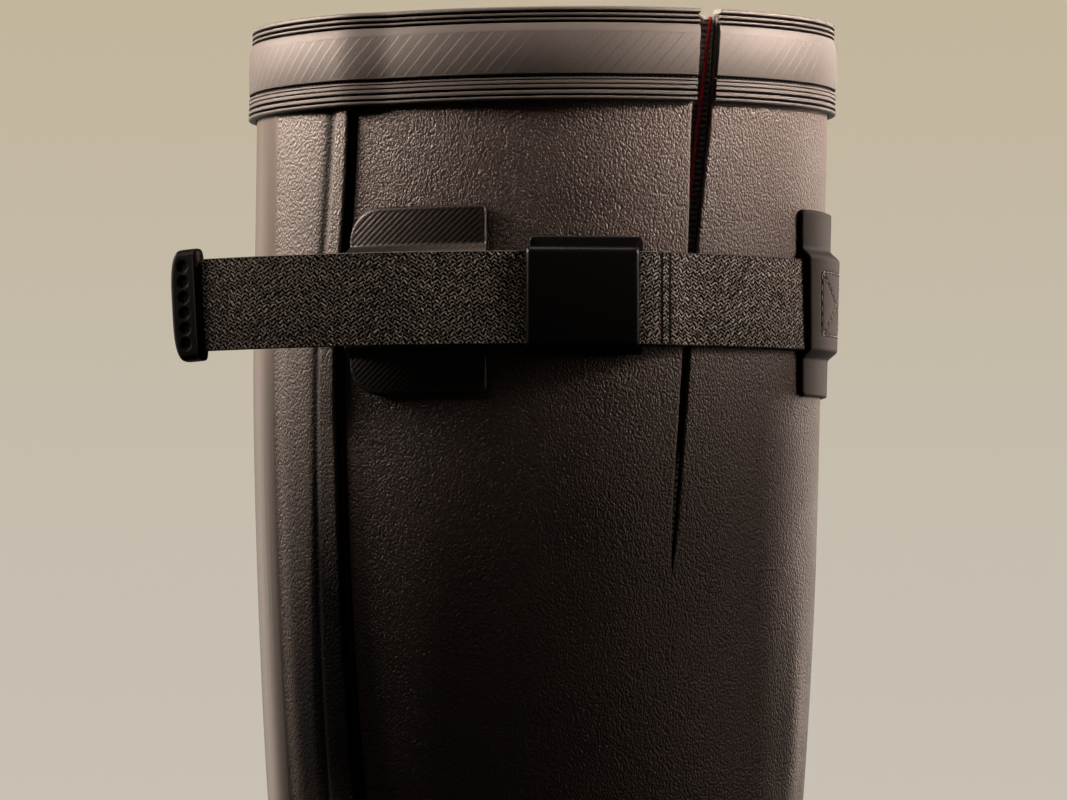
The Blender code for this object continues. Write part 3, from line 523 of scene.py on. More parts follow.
def add_piece(name, points, faces, materials, solid=None, uv=None, values=None):
    """Piece that rides on the boot. points are in millimetres, faces pairs of corner numbers and
    material number, values a named number per point. Doubles merge and faces turn outward."""
    points = np.asarray(points, float).reshape(-1, 3)
    corners = np.concatenate([np.asarray(face).reshape(-1) for face, _ in faces])
    sizes = np.concatenate([np.full(len(face), face.shape[1]) for face, _ in faces])
    looks = np.concatenate([np.full(len(face), look) for face, look in faces])
    data = bpy.data.meshes.new(name)
    data.vertices.add(len(points))
    data.vertices.foreach_set("co", (points * MM).astype(np.float32).ravel())
    data.loops.add(len(corners))
    data.loops.foreach_set("vertex_index", corners.astype(np.int32))
    data.polygons.add(len(sizes))
    data.polygons.foreach_set("loop_start", (np.cumsum(sizes) - sizes).astype(np.int32))
    data.polygons.foreach_set("material_index", looks.astype(np.int32))
    data.update(calc_edges=True)
    if uv is not None:
        layer = data.uv_layers.new(name="UVMap")
        spread = (np.asarray(uv, float).reshape(-1, 2) * MM)[corners]
        layer.data.foreach_set("uv", spread.astype(np.float32).ravel())
    for key, numbers_of in (values or {}).items():
        attribute = data.attributes.new(key, "FLOAT", "POINT")
        attribute.data.foreach_set("value", np.asarray(numbers_of, np.float32).ravel())
    mesh = bmesh.new()
    mesh.from_mesh(data)
    bmesh.ops.remove_doubles(mesh, verts=mesh.verts, dist=MERGE)
    bmesh.ops.recalc_face_normals(mesh, faces=mesh.faces)
    mesh.to_mesh(data)
    mesh.free()
    data.polygons.foreach_set("use_smooth", np.ones(len(data.polygons), bool))
    data.set_sharp_from_angle(angle=math.radians(SHARP_ANGLE))
    obj = bpy.data.objects.new(name, data)
    for material in materials:
        data.materials.append(material)
    bpy.context.scene.collection.objects.link(obj)
    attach(obj, BODY)
    if solid is not None:
        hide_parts(solid)
    return obj


def linear(code):
    """Linear colour of an sRGB hex code: the two-part sRGB curve."""
    srgb = np.array([int(code[i:i + 2], 16) for i in (0, 2, 4)]) / 255.0
    value = np.where(srgb <= 0.04045, srgb / 12.92, ((srgb + 0.055) / 1.055) ** 2.4)
    return (*value.tolist(), 1.0)


def per_mm(size):
    """Scale of a pattern whose repeat is a size in millimetres."""
    return 1.0 / (size * MM)


def node(tree, kind, inputs=None, **settings):
    """Shader node with its settings; inputs are values, or outputs of other nodes to link."""
    made = tree.nodes.new("ShaderNode" + kind)
    for key, value in settings.items():
        setattr(made, key, value)
    for key, value in (inputs or {}).items():
        if isinstance(value, bpy.types.NodeSocket):
            tree.links.new(value, made.inputs[key])
        else:
            made.inputs[key].default_value = value
    return made


# Sockets of a colour mix node
MIX_A = 6
MIX_B = 7
MIX_OUT = 2


def new_material(name):
    """Material with an empty node tree."""
    material = bpy.data.materials.new(name)
    material.use_nodes = True
    material.node_tree.nodes.clear()
    return material, material.node_tree


def finish_material(material, sockets):
    """Material closed by one Principled shader; sockets are values, or outputs of other nodes."""
    tree = material.node_tree
    shader = node(tree, "BsdfPrincipled", sockets)
    node(tree, "OutputMaterial", {"Surface": shader.outputs[0]})
    return material


def grain_height(tree, place, cell, slant):
    """Height of leather-like grain pressed into rubber: warped cells drawn out along a slant, each
    a dome that falls with the power 1.4 of the distance from its middle, plus finer pits."""
    turned = node(tree, "Mapping", {"Vector": place, "Rotation": (0.0, math.radians(slant), 0.0),
                                    "Scale": (1.0, 1.0, 0.72)})
    warp = node(tree, "TexNoise", {"Vector": turned.outputs[0], "Scale": per_mm(cell * 2.6),
                                   "Detail": 1.0})
    moved = node(tree, "VectorMath", {0: warp.outputs["Color"], 1: (cell * MM * 1.1,) * 3,
                                      2: turned.outputs[0]}, operation="MULTIPLY_ADD")
    cells = node(tree, "TexVoronoi", {"Vector": moved.outputs[0], "Scale": per_mm(cell)})
    pits = node(tree, "TexNoise", {"Vector": moved.outputs[0], "Scale": per_mm(cell * 1.1),
                                   "Detail": 1.0})
    fall = node(tree, "Math", {0: cells.outputs["Distance"], 1: 1.4}, operation="POWER")
    rough = node(tree, "Math", {0: pits.outputs[0], 1: 0.45}, operation="MULTIPLY")
    return node(tree, "Math", {0: fall.outputs[0], 1: -1.1, 2: rough.outputs[0]},
                operation="MULTIPLY_ADD").outputs[0]


def grained_rubber():
    """Natural rubber, moulded against a leather-grained mould and lightly polished: dark brown
    with a soft sheen that breaks into glints on the grain, painted shade that turns the open
    seam black and dull, and two dark scuffs above the buckle."""
    material, tree = new_material("natural_rubber_grained")
    place = node(tree, "TexCoord").outputs["Object"]
    height = grain_height(tree, place, 0.55, 35.0)
    blotch = node(tree, "TexNoise", {"Vector": place, "Scale": per_mm(28.0), "Detail": 4.0,
                                     "Roughness": 0.6})
    bloom = node(tree, "MapRange", {"Value": blotch.outputs[0], "From Min": 0.35, "From Max": 0.7})
    colour = node(tree, "Mix", {0: bloom.outputs[0], MIX_A: linear("1c0f08"),
                                MIX_B: linear("2b1a0f")}, data_type="RGBA")
    # The 'dark' attribute is painted shade in the open seam, black and without shine, plus the dark
    # scuffs above the buckle.
    mark = node(tree, "Attribute", {}, attribute_name="dark").outputs["Fac"]
    shade = node(tree, "Mix", {0: mark, MIX_A: colour.outputs[MIX_OUT], MIX_B: linear("020201")},
                 data_type="RGBA")
    shine = node(tree, "MapRange", {"Value": mark, "To Min": 0.5, "To Max": 0.02})
    rough = node(tree, "MapRange", {"Value": blotch.outputs[0], "From Min": 0.3, "From Max": 0.75,
                                    "To Min": 0.5, "To Max": 0.6})
    bump = node(tree, "Bump", {"Height": height, "Strength": 1.0, "Distance": 0.0002})
    return finish_material(material, {"Base Color": shade.outputs[MIX_OUT], "IOR": 1.52,
                                      "Specular IOR Level": shine.outputs[0],
                                      "Roughness": rough.outputs[0], "Normal": bump.outputs[0]})


def panel_rubber():
    """Rubber of the rear panel: a polished brown strip with drawn vertical streaks down its middle,
    a finer grain beside it, and painted shade in the valley, down the outer side and under the
    edge. The map runs across the panel and up it."""
    material, tree = new_material("natural_rubber_panel")
    coords = node(tree, "TexCoord")
    place = coords.outputs["Object"]
    split = node(tree, "SeparateXYZ", {0: coords.outputs["UV"]})
    across = node(tree, "Math", {0: split.outputs[0]}, operation="ABSOLUTE")
    strip = node(tree, "MapRange", {"Value": across.outputs[0], "From Min": STRIP_HALF * MM,
                                    "From Max": (STRIP_HALF + 1.8) * MM, "To Min": 1.0,
                                    "To Max": 0.0}, interpolation_type="SMOOTHSTEP")
    drawn = node(tree, "Mapping", {"Vector": coords.outputs["UV"],
                                   "Scale": (per_mm(0.9), per_mm(60.0), 1.0)})
    streaks = node(tree, "TexNoise", {"Vector": drawn.outputs[0], "Scale": 1.0, "Detail": 2.0})
    colour = node(tree, "Mix", {0: strip.outputs[0], MIX_A: linear("363029"),
                                MIX_B: linear("33271c")}, data_type="RGBA")
    # The 'dark' attribute is painted shade: black and without shine in the valley, low on the outer
    # side, under the edge and on the inner face.
    mark = node(tree, "Attribute", {}, attribute_name="dark").outputs["Fac"]
    shade = node(tree, "Mix", {0: mark, MIX_A: colour.outputs[MIX_OUT], MIX_B: linear("030202")},
                 data_type="RGBA")
    unshaded = node(tree, "MapRange", {"Value": mark, "To Min": 1.0, "To Max": 0.06})
    gloss = node(tree, "MapRange", {"Value": strip.outputs[0], "To Min": 0.46, "To Max": 0.3})
    shine = node(tree, "Math", {0: unshaded.outputs[0], 1: gloss.outputs[0]}, operation="MULTIPLY")
    rough = node(tree, "MapRange", {"Value": strip.outputs[0], "To Min": 0.5, "To Max": 0.38})
    grain = grain_height(tree, place, 0.6, 8.0)
    soft = node(tree, "Math", {0: streaks.outputs[0], 1: 0.35}, operation="MULTIPLY")
    level = node(tree, "Mix", {0: strip.outputs[0], 2: grain, 3: soft.outputs[0]})
    bump = node(tree, "Bump", {"Height": level.outputs[0], "Strength": 0.7, "Distance": 0.0002})
    return finish_material(material, {"Base Color": shade.outputs[MIX_OUT], "IOR": 1.52,
                                      "Specular IOR Level": shine.outputs[0],
                                      "Roughness": rough.outputs[0], "Normal": bump.outputs[0]})


def collar_rubber():
    """Rubber of the collar, moulded smooth and left grey by bloom: slanted laps on the flat band
    with fine hair lines between them, painted shade that turns the grooves and the step black,
    small paler dashes on the step."""
    material, tree = new_material("natural_rubber_collar")
    coords = node(tree, "TexCoord")
    split = node(tree, "SeparateXYZ", {0: coords.outputs["UV"]})
    lean = 1.0 / math.tan(math.radians(50.0))
    slanted = node(tree, "Math", {0: split.outputs[1], 1: -lean, 2: split.outputs[0]},
                   operation="MULTIPLY_ADD")
    # The hair lines are 0.75 mm apart where the real ones are about 0.6 mm
    fine = node(tree, "Math", {0: slanted.outputs[0], 1: 2.0 * math.pi * per_mm(0.75)},
                operation="MULTIPLY")
    hair = node(tree, "Math", {0: fine.outputs[0]}, operation="SINE")
    coarse = node(tree, "Math", {0: slanted.outputs[0], 1: per_mm(3.75)}, operation="MULTIPLY")
    saw = node(tree, "Math", {0: coarse.outputs[0]}, operation="FRACT")
    drop = node(tree, "MapRange", {"Value": saw.outputs[0], "From Min": 0.86, "From Max": 1.0},
                interpolation_type="SMOOTHSTEP")
    lap = node(tree, "Math", {0: drop.outputs[0], 1: saw.outputs[0]}, operation="SUBTRACT")
    middle = (BOOT_HEIGHT - LAP_MIDDLE) * MM
    band = node(tree, "Math", {0: split.outputs[1], 1: middle, 2: LAP_HALF * MM}, operation="COMPARE")
    lines = node(tree, "Math", {0: hair.outputs[0], 1: 0.16, 2: lap.outputs[0]},
                 operation="MULTIPLY_ADD")
    ribs = node(tree, "Math", {0: lines.outputs[0], 1: band.outputs[0]}, operation="MULTIPLY")
    dust = node(tree, "TexNoise", {"Vector": coords.outputs["Object"], "Scale": per_mm(0.5),
                                   "Detail": 3.0})
    level = node(tree, "Math", {0: dust.outputs[0], 1: 0.4, 2: ribs.outputs[0]},
                 operation="MULTIPLY_ADD")
    cloud = node(tree, "TexNoise", {"Vector": coords.outputs["Object"], "Scale": per_mm(16.0),
                                    "Detail": 3.0})
    colour = node(tree, "Mix", {0: cloud.outputs[0], MIX_A: linear("33302e"),
                                MIX_B: linear("44413e")}, data_type="RGBA")
    # The 'dark' attribute is painted shade in the grooves and on the step: black and without shine,
    # less so on the dashes.
    mark = node(tree, "Attribute", {}, attribute_name="dark").outputs["Fac"]
    step = (BOOT_HEIGHT - sum(COLLAR_STEP) / 2.0) * MM
    ledge = node(tree, "Math", {0: split.outputs[1], 1: step, 2: 0.3 * MM}, operation="COMPARE")
    beat = node(tree, "Math", {0: split.outputs[0], 1: per_mm(1.5)}, operation="MULTIPLY")
    cycle = node(tree, "Math", {0: beat.outputs[0]}, operation="FRACT")
    dash = node(tree, "Math", {0: cycle.outputs[0], 1: 0.55}, operation="LESS_THAN")
    pale = node(tree, "Math", {0: ledge.outputs[0], 1: dash.outputs[0]}, operation="MULTIPLY")
    left = node(tree, "Math", {0: pale.outputs[0], 1: -0.3, 2: mark}, operation="MULTIPLY_ADD",
                use_clamp=True)
    shade = node(tree, "Mix", {0: left.outputs[0], MIX_A: colour.outputs[MIX_OUT],
                               MIX_B: linear("020202")}, data_type="RGBA")
    shine = node(tree, "MapRange", {"Value": left.outputs[0], "To Min": 0.45, "To Max": 0.02})
    bump = node(tree, "Bump", {"Height": level.outputs[0], "Strength": 0.42, "Distance": 0.00014})
    return finish_material(material, {"Base Color": shade.outputs[MIX_OUT], "IOR": 1.52,
                                      "Roughness": 0.62, "Specular IOR Level": shine.outputs[0],
                                      "Normal": bump.outputs[0]})


def matt_finish(name, dark, light, rough, shine):
    """Matt face of vulcanised rubber from its mould, of a cut edge or of sewing thread: two near
    tones in broad clouds, over a fine dust that breaks up the light."""
    material, tree = new_material(name)
    place = node(tree, "TexCoord").outputs["Object"]
    cloud = node(tree, "TexNoise", {"Vector": place, "Scale": per_mm(9.0), "Detail": 4.0})
    colour = node(tree, "Mix", {0: cloud.outputs[0], MIX_A: linear(dark), MIX_B: linear(light)},
                  data_type="RGBA")
    dust = node(tree, "TexNoise", {"Vector": place, "Scale": per_mm(0.45), "Detail": 2.0})
    bump = node(tree, "Bump", {"Height": dust.outputs[0], "Strength": 0.35, "Distance": 0.0001})
    return finish_material(material, {"Base Color": colour.outputs[MIX_OUT], "IOR": 1.52,
                                      "Roughness": rough, "Specular IOR Level": shine,
                                      "Normal": bump.outputs[0]})


def strap_webbing():
    """Polyester webbing woven in zigzag rows: grey yarn with a painted highlight on its crowns,
    painted shade, black, between them.
    """
    material, tree = new_material("polyester_webbing")
    # The attribute is painted light: it lights the yarn's crowns grey and shades the hollows between
    # them black, times each stroke's own tone.
    yarn_tone_and_light = node(tree, "Attribute", {}, attribute_name="yarn_tone_and_light").outputs["Fac"]
    place = node(tree, "TexCoord").outputs["Object"]
    flecks = node(tree, "TexNoise", {"Vector": place, "Scale": per_mm(0.9), "Detail": 3.0})
    tone = node(tree, "MapRange", {"Value": flecks.outputs[0], "From Min": 0.35, "From Max": 0.65})
    bright = node(tree, "Mix", {0: tone.outputs[0], MIX_A: linear("4e4a45"),
                                MIX_B: linear("a09a94")}, data_type="RGBA")
    lit = node(tree, "MapRange", {"Value": yarn_tone_and_light, "From Min": 0.18, "From Max": 0.62},
               interpolation_type="SMOOTHSTEP")
    colour = node(tree, "Mix", {0: lit.outputs[0], MIX_A: linear("020202"),
                                MIX_B: bright.outputs[MIX_OUT]}, data_type="RGBA")
    shine = node(tree, "MapRange", {"Value": lit.outputs[0], "To Min": 0.02, "To Max": 0.5})
    # Filaments of 0.25 mm stand for the real yarn's much finer ones
    fibres = node(tree, "TexNoise", {"Vector": place, "Scale": per_mm(0.25), "Detail": 1.0})
    bump = node(tree, "Bump", {"Height": fibres.outputs[0], "Strength": 0.5, "Distance": 0.00008})
    return finish_material(material, {"Base Color": colour.outputs[MIX_OUT], "Roughness": 0.62,
                                      "Sheen Weight": 0.06, "Sheen Roughness": 0.5, "IOR": 1.5,
                                      "Specular IOR Level": shine.outputs[0],
                                      "Normal": bump.outputs[0]})


def moulded_plastic(name, colour, rough, shine):
    """Black polyamide from a spark-eroded mould: an even fine-sand texture, half matt."""
    material, tree = new_material(name)
    place = node(tree, "TexCoord").outputs["Object"]
    # The sand is 0.4 mm where the real texture is about half of that
    sand = node(tree, "TexNoise", {"Vector": place, "Scale": per_mm(0.4), "Detail": 2.0})
    worn = node(tree, "MapRange", {"Value": sand.outputs[0], "From Min": 0.3, "From Max": 0.7,
                                   "To Min": rough - 0.04, "To Max": rough + 0.06})
    bump = node(tree, "Bump", {"Height": sand.outputs[0], "Strength": 0.5, "Distance": 0.00008})
    return finish_material(material, {"Base Color": linear(colour), "IOR": 1.53,
                                      "Specular IOR Level": shine, "Roughness": worn.outputs[0],
                                      "Normal": bump.outputs[0]})


def knitted_cloth(name, dark, light, stitch):
    """Knitted cloth, or felt in like rows: small loops, matt with a faint sheen from the nap, and
    painted light, pale grey, where the attribute asks for it."""
    material, tree = new_material(name)
    place = node(tree, "TexCoord").outputs["Object"]
    # A wave texture turns 20 radians in one unit, and about half a turn goes to a stitch
    unit_turn = 20.0
    stitch_turn = 3.2
    rows = node(tree, "TexWave", {"Vector": place, "Scale": per_mm(stitch) / unit_turn * stitch_turn,
                                  "Distortion": 2.5, "Detail": 1.0}, bands_direction="Z")
    loops = node(tree, "TexVoronoi", {"Vector": place, "Scale": per_mm(stitch)})
    level = node(tree, "Math", {0: rows.outputs["Fac"], 1: loops.outputs["Distance"]},
                 operation="SUBTRACT")
    colour = node(tree, "Mix", {0: rows.outputs["Fac"], MIX_A: linear(dark), MIX_B: linear(light)},
                  data_type="RGBA")
    # Painted light: the attribute lightens the cloth towards a pale grey where light would fall.
    painted_light = node(tree, "Attribute", {}, attribute_name="painted_light").outputs["Fac"]
    shade = node(tree, "Mix", {0: painted_light, MIX_A: colour.outputs[MIX_OUT], MIX_B: linear("a8a3a1")},
                 data_type="RGBA")
    bump = node(tree, "Bump", {"Height": level.outputs[0], "Strength": 0.7, "Distance": 0.0003})
    return finish_material(material, {"Base Color": shade.outputs[MIX_OUT], "Roughness": 0.9,
                                      "Sheen Weight": 0.3, "Sheen Roughness": 0.6,
                                      "Normal": bump.outputs[0]})


def sole_rubber():
    """Compounded sole rubber, harder and duller than the upper, with a little pale dust."""
    material, tree = new_material("sole_rubber_compound")
    place = node(tree, "TexCoord").outputs["Object"]
    dust = node(tree, "TexNoise", {"Vector": place, "Scale": per_mm(14.0), "Detail": 5.0,
                                   "Roughness": 0.65})
    bloom = node(tree, "MapRange", {"Value": dust.outputs[0], "From Min": 0.4, "From Max": 0.75})
    colour = node(tree, "Mix", {0: bloom.outputs[0], MIX_A: linear("17110e"),
                                MIX_B: linear("2b221c")}, data_type="RGBA")
    rough = node(tree, "MapRange", {"Value": dust.outputs[0], "From Min": 0.3, "From Max": 0.7,
                                    "To Min": 0.48, "To Max": 0.66})
    pits = node(tree, "TexNoise", {"Vector": place, "Scale": per_mm(0.7), "Detail": 2.0})
    bump = node(tree, "Bump", {"Height": pits.outputs[0], "Strength": 0.4, "Distance": 0.00012})
    return finish_material(material, {"Base Color": colour.outputs[MIX_OUT], "IOR": 1.52,
                                      "Roughness": rough.outputs[0], "Normal": bump.outputs[0]})


def red_cord():
    """Twisted polyester piping cord, bright red with painted shade as darker lines between its strands.
    """
    material, tree = new_material("polyester_cord_red")
    # The attribute is painted shade between the strands.
    twist = node(tree, "Attribute", {}, attribute_name="yarn_tone_and_light").outputs["Fac"]
    colour = node(tree, "Mix", {0: twist, MIX_A: linear("8c0d17"), MIX_B: linear("cf2a34")},
                  data_type="RGBA")
    return finish_material(material, {"Base Color": colour.outputs[MIX_OUT], "Roughness": 0.8,
                                      "Specular IOR Level": 0.2})


def backdrop_paper():
    """Matt beige studio paper that gives off its own even light, a little cooler near the floor,
    and darker by ambient occlusion where the boot stands on it."""
    material, tree = new_material("studio_paper")
    place = node(tree, "TexCoord").outputs["Object"]
    split = node(tree, "SeparateXYZ", {0: place})
    rise = node(tree, "MapRange", {"Value": split.outputs[2], "From Min": 0.0, "From Max": 1.2},
                interpolation_type="SMOOTHSTEP")
    colour = node(tree, "Mix", {0: rise.outputs[0], MIX_A: linear("c8c1b4"),
                                MIX_B: linear("c5b79d")}, data_type="RGBA")
    near = node(tree, "AmbientOcclusion", {"Color": colour.outputs[MIX_OUT], "Distance": 0.14},
                samples=6)
    return finish_material(material, {"Base Color": linear("1d1b18"), "Roughness": 0.95,
                                      "Emission Strength": 0.97,
                                      "Emission Color": near.outputs["Color"]})


def lip_fillet(arcs, radius):
    """How far a lip's face falls in over its rounded edge: a quarter circle of the radius."""
    inside = np.clip(1.0 - arcs / np.maximum(radius, 1e-3), 0.0, 1.0)
    return radius * (1.0 - np.sqrt(1.0 - inside ** 2))


def make_upper():
    """Foot and shaft in one wall: the surface function on a grid from lip to lip of the slit,
    once at the outer face and once a wall further in, joined at the rim, the sole and the lips.
    Beside the rear panel the outer face is let in by a flat-bottomed bell, the open seam."""
    foot = np.linspace(0.0, SHAFT_LEVEL - 1.0, 58)
    below = np.linspace(SHAFT_FOOT, SLIT_END_HEIGHT, 40)
    above = np.linspace(SLIT_END_HEIGHT, BOOT_HEIGHT - RIM_COVER, 58)[1:]
    heights = np.concatenate([np.full(len(foot), SHAFT_FOOT), below, above])
    levels = np.concatenate([foot, level_at(below), level_at(above)])
    front, rear = slit_lips(np.maximum(heights, SLIT_END_HEIGHT))
    step = 0.005
    pace = base_point(levels, front + step) - base_point(levels, front - step)
    pace = np.linalg.norm(pace, axis=-1) / (2.0 * step)
    near = np.array([0.0, 0.06, 0.2, 0.4, 0.65, 0.95, 1.5, 2.4])
    start = front[:, None] + near / pace[:, None]
    end = rear[:, None] - near[::-1] / pace[:, None]
    one_side = np.array([0.3, 0.6, 0.8, 1.0, 1.3, 1.8, 3.0])
    beside = np.concatenate([-one_side[::-1], [0.0], one_side])
    middle = (SEAM_MIDDLE + seam_shift(heights))[:, None]
    one = walk(levels, 0.0, beside - middle) + 2.0 * math.pi
    two = walk(levels, 0.0, beside + middle) + 2.0 * math.pi
    runs = [start]
    for last, first, count in ((start, one, 112), (one, two, 36), (two, end, 36)):
        share = np.linspace(0.0, 1.0, count)[1:-1]
        runs += [last[:, -1:] + (first[:, :1] - last[:, -1:]) * share, first]
    theta = np.concatenate(runs, axis=1)
    arcs = np.concatenate([near, np.full(theta.shape[1] - 2 * len(near), FAR), near[::-1]])
    away = np.concatenate([np.full(run.shape[1], FAR) if run is not one and run is not two
                           else beside for run in runs])
    seam = bell((away / SEAM_HALF) ** 2) * smooth((levels[:, None] - SEAM_FOOT) / SEAM_GROWTH)
    grown = smooth((heights - SLIT_END_HEIGHT) / LIP_GROWTH)[:, None]
    sunk = lip_fillet(arcs, LIP_OUTER * grown) + SEAM_DEPTH * seam
    outer = surface(levels[:, None], theta, -sunk)
    inner = surface(levels[:, None], theta, -WALL + lip_fillet(arcs, LIP_INNER * grown))
    rows, cols = theta.shape
    a = numbers(rows, cols)
    b = numbers(rows, cols, rows * cols)
    split = len(foot) + len(below) - 1
    lips = [quads(np.stack([a[split:, i], b[split:, i]])) for i in (0, -1)]
    ends = [quads(np.stack([a[i], b[i]])) for i in (0, -1)]
    faces = [(quads(a), 0), (np.concatenate(ends), 0), (quads(b), 1), (np.concatenate(lips), 2)]
    lining = knitted_cloth("cotton_lining_knit", "0d0c0b", "24211f", 0.9)
    cut = matt_finish("knit_backed_cut_edge", "060505", "12100f", 0.8, 0.2)
    points = np.concatenate([outer.reshape(-1, 3), inner.reshape(-1, 3)])
    # Painted shade turns the open seam black; the scuffs above the buckle are marks on the rubber. The
    # inner face takes neither.
    dark = np.maximum(seam, scuff_marks(outer))
    add_piece("boot_upper", points, faces, [grained_rubber(), lining, cut], "upper",
              values={"dark": np.concatenate([dark, np.zeros_like(dark)])})


def scuff_marks(points):
    """How dark a point is from the two small scuffs above the buckle: a bell around each."""
    total = np.zeros(points.shape[:-1])
    for x, height, size in SCUFFS:
        level = level_at(height)
        middle = surface(level, theta_at(level, x))
        total = total + SCUFF_TONE * bell(np.linalg.norm(points - middle, axis=-1) / size)
    return np.minimum(total, SCUFF_DARKEST)


def collar_profile():
    """Cross-section of the collar: its plain outline less a flat-bottomed bell for each moulded
    groove, and how dark each point is with the painted shade in the grooves and on the step."""
    one_side = np.array([0.4, 0.7, 0.9, 1.1, 1.5])
    spread = np.concatenate([-one_side[::-1], [0.0], one_side])
    steep = 1.6
    ledge_shade = 0.95
    depths = [np.array([row.depth for row in COLLAR_OUTSIDE])]
    depths += [row.depth + row.half * spread for row in COLLAR_GROOVES]
    depth = np.unique(np.round(np.concatenate(depths), 3))
    plain = [np.array([getattr(row, name) for row in COLLAR_OUTSIDE], float) for name in Rib._fields]
    off = np.interp(depth, plain[0], plain[1])
    # Painted shade: the sunk step under the band, and each groove further down, are darkened up to
    # black.
    dark = np.where((depth > COLLAR_STEP[0]) & (depth < COLLAR_STEP[1]), ledge_shade, 0.0)
    for row in COLLAR_GROOVES:
        cut = bell(((depth - row.depth) / row.half) ** 2 * steep)
        off = off - row.deep * cut
        dark = np.maximum(dark, cut * min(1.0, row.deep))
    inside = [np.array([getattr(row, name) for row in COLLAR_INSIDE], float) for name in Rib._fields]
    return (np.concatenate([inside[0], depth]), np.concatenate([inside[1], off]),
            np.concatenate([inside[2], np.ones_like(depth)]),
            np.concatenate([np.zeros(len(COLLAR_INSIDE)), dark]))


def carry(theta):
    """How far the collar is carried outwards over the rear panel: all the way across it, then
    eased to nothing beside it."""
    near = walk(level_at(BOOT_HEIGHT - COLLAR_MIDDLE), 0.0, np.array(CARRY_ARCS))[0]
    turn = np.abs((theta + math.pi) % (2.0 * math.pi) - math.pi)
    return CARRY_RISE * (1.0 - smooth((turn - near[0]) / (near[1] - near[0])))


def make_collar():
    """Ribbed band around the top: the cross-section carried along the rim from lip to lip."""
    depth, off, carried, dark = collar_profile()
    heights = BOOT_HEIGHT - depth
    front, rear = slit_lips(heights)
    share = np.linspace(0.0, 1.0, 440)
    theta = front[:, None] + (rear - front)[:, None] * share
    out = off[:, None] + carried[:, None] * carry(theta)
    points = surface(level_at(heights)[:, None], theta, out)
    band = int(np.argmin(np.abs(depth - COLLAR_MIDDLE)))
    arc = np.broadcast_to(running_length(points[band]), theta.shape)
    uv = np.stack([arc, np.broadcast_to(heights[:, None], theta.shape)], axis=-1)
    faces = sweep_faces(len(share), len(depth))
    add_piece("boot_collar", points.transpose(1, 0, 2), faces, [collar_rubber()], "collar_band",
              uv=uv.transpose(1, 0, 2),
              values={"dark": np.broadcast_to(dark, (len(share), len(dark)))})


def seam_shift(heights):
    """How much further apart the panel's two edges run near the collar: eased up the shaft."""
    return SEAM_SPREAD * smooth((heights - SPREAD_START) / SPREAD_LENGTH)


def panel_height(arc, border):
    """Height of the rear panel over the shaft by the distance from its middle: a flat strip, a low
    step to the field, a long fall into the valley, a raised border of its own width at each
    height, and a round fall at its edge."""
    valley = PANEL_HALF - border - 1.0
    step = STRIP_STEP * smooth((arc - STRIP_HALF) / STEP_WIDTH)
    fall = FIELD_FALL * smooth((arc - FIELD_START) / (valley - FIELD_START))
    rise = BORDER_RISE * smooth((arc - valley) / BORDER_SLOPE) - VALLEY_DIP * bell(arc - valley)
    edge = np.clip((arc - PANEL_HALF + EDGE_WIDTH) / EDGE_WIDTH, 0.0, 1.0)
    return STRIP_RISE - step - fall + rise - EDGE_FALL * (1.0 - np.sqrt(1.0 - edge ** 2))


def panel_painted_shade(arc, heights, border, outer_side):
    """How dark the rear panel is, 0 to 1, all painted shade: a bell of it along the valley, shade on
    the outer side that thickens downwards beside the strip and on the border and fades out lower
    down, and a black painted shadow under the edge."""
    valley_tone, valley_reach = 0.85, 1.9
    field_tone, field_depth = 0.8, 95.0
    border_tone, border_depth = 0.45, 40.0
    fade_tone, fade_start, fade_depth = 0.75, 100.0, 70.0
    inset = arc - PANEL_HALF + border
    below = PANEL_SHADED - heights
    valley_shade = valley_tone * bell((inset + 1.7) / valley_reach)
    side_shade = field_tone * smooth(below / field_depth) * smooth((arc - STRIP_HALF - 1.5) / 6.0)
    side_shade = side_shade + border_tone * smooth(below / border_depth + 0.6) * smooth((inset + 1.0) / 2.0)
    left = 1.0 - fade_tone * smooth((below - fade_start) / fade_depth)
    dark = np.minimum(valley_shade + side_shade * outer_side, 1.0) * left
    return np.maximum(dark, smooth((arc - PANEL_HALF + 0.3) / 0.25))


def make_rear_panel():
    """Rear panel from the sole's cup to the collar: its height over the shaft by the distance
    from the back line, carried up the shaft, with its inner face just off the shaft. The grid is
    close at the strip's step, in the valley and over the round edge."""
    turn = np.linspace(0.1, math.pi / 2.0, 9)
    half = np.concatenate([np.linspace(0.0, 23.8, 14), np.linspace(24.2, 27.8, 9),
                           np.linspace(28.6, 36.6, 8), np.linspace(37.1, 48.3, 26),
                           PANEL_HALF - EDGE_WIDTH + EDGE_WIDTH * np.sin(turn)])
    arcs = np.concatenate([-half[:0:-1], half])
    far = np.abs(arcs)
    foot = np.linspace(1.0, SHAFT_LEVEL - 1.0, 50)
    shaft = np.linspace(SHAFT_FOOT, BOOT_HEIGHT - RIM_COVER, 96)
    levels = np.concatenate([foot, level_at(shaft)])
    heights = np.concatenate([np.full(len(foot), SHAFT_FOOT), shaft])[:, None]
    unmoved = 30.0
    spread = np.sign(arcs) * smooth((far - unmoved) / (PANEL_HALF - unmoved))
    theta = walk(levels, 0.0, arcs + seam_shift(heights) * spread)
    border = np.interp(heights, PANEL_BORDER[0], PANEL_BORDER[1])
    outer = surface(levels[:, None], theta, panel_height(far, border))
    inner = surface(levels[:, None], theta, GAP)
    uv = np.stack([np.broadcast_to(arcs, theta.shape), outer[..., 2]], axis=-1)
    # Painted shade: the valley, the lower outer side and the line under the edge are darkened, and the
    # inner face against the shaft is painted black.
    dark = panel_painted_shade(far, heights, border, outer[..., 1] < 0.0)
    add_piece("rear_panel", np.concatenate([outer, inner]), [(sheet_faces(*theta.shape), 0)],
              [panel_rubber()], "back_panel", uv=np.concatenate([uv, uv]),
              values={"dark": np.concatenate([dark, np.ones_like(dark)])})


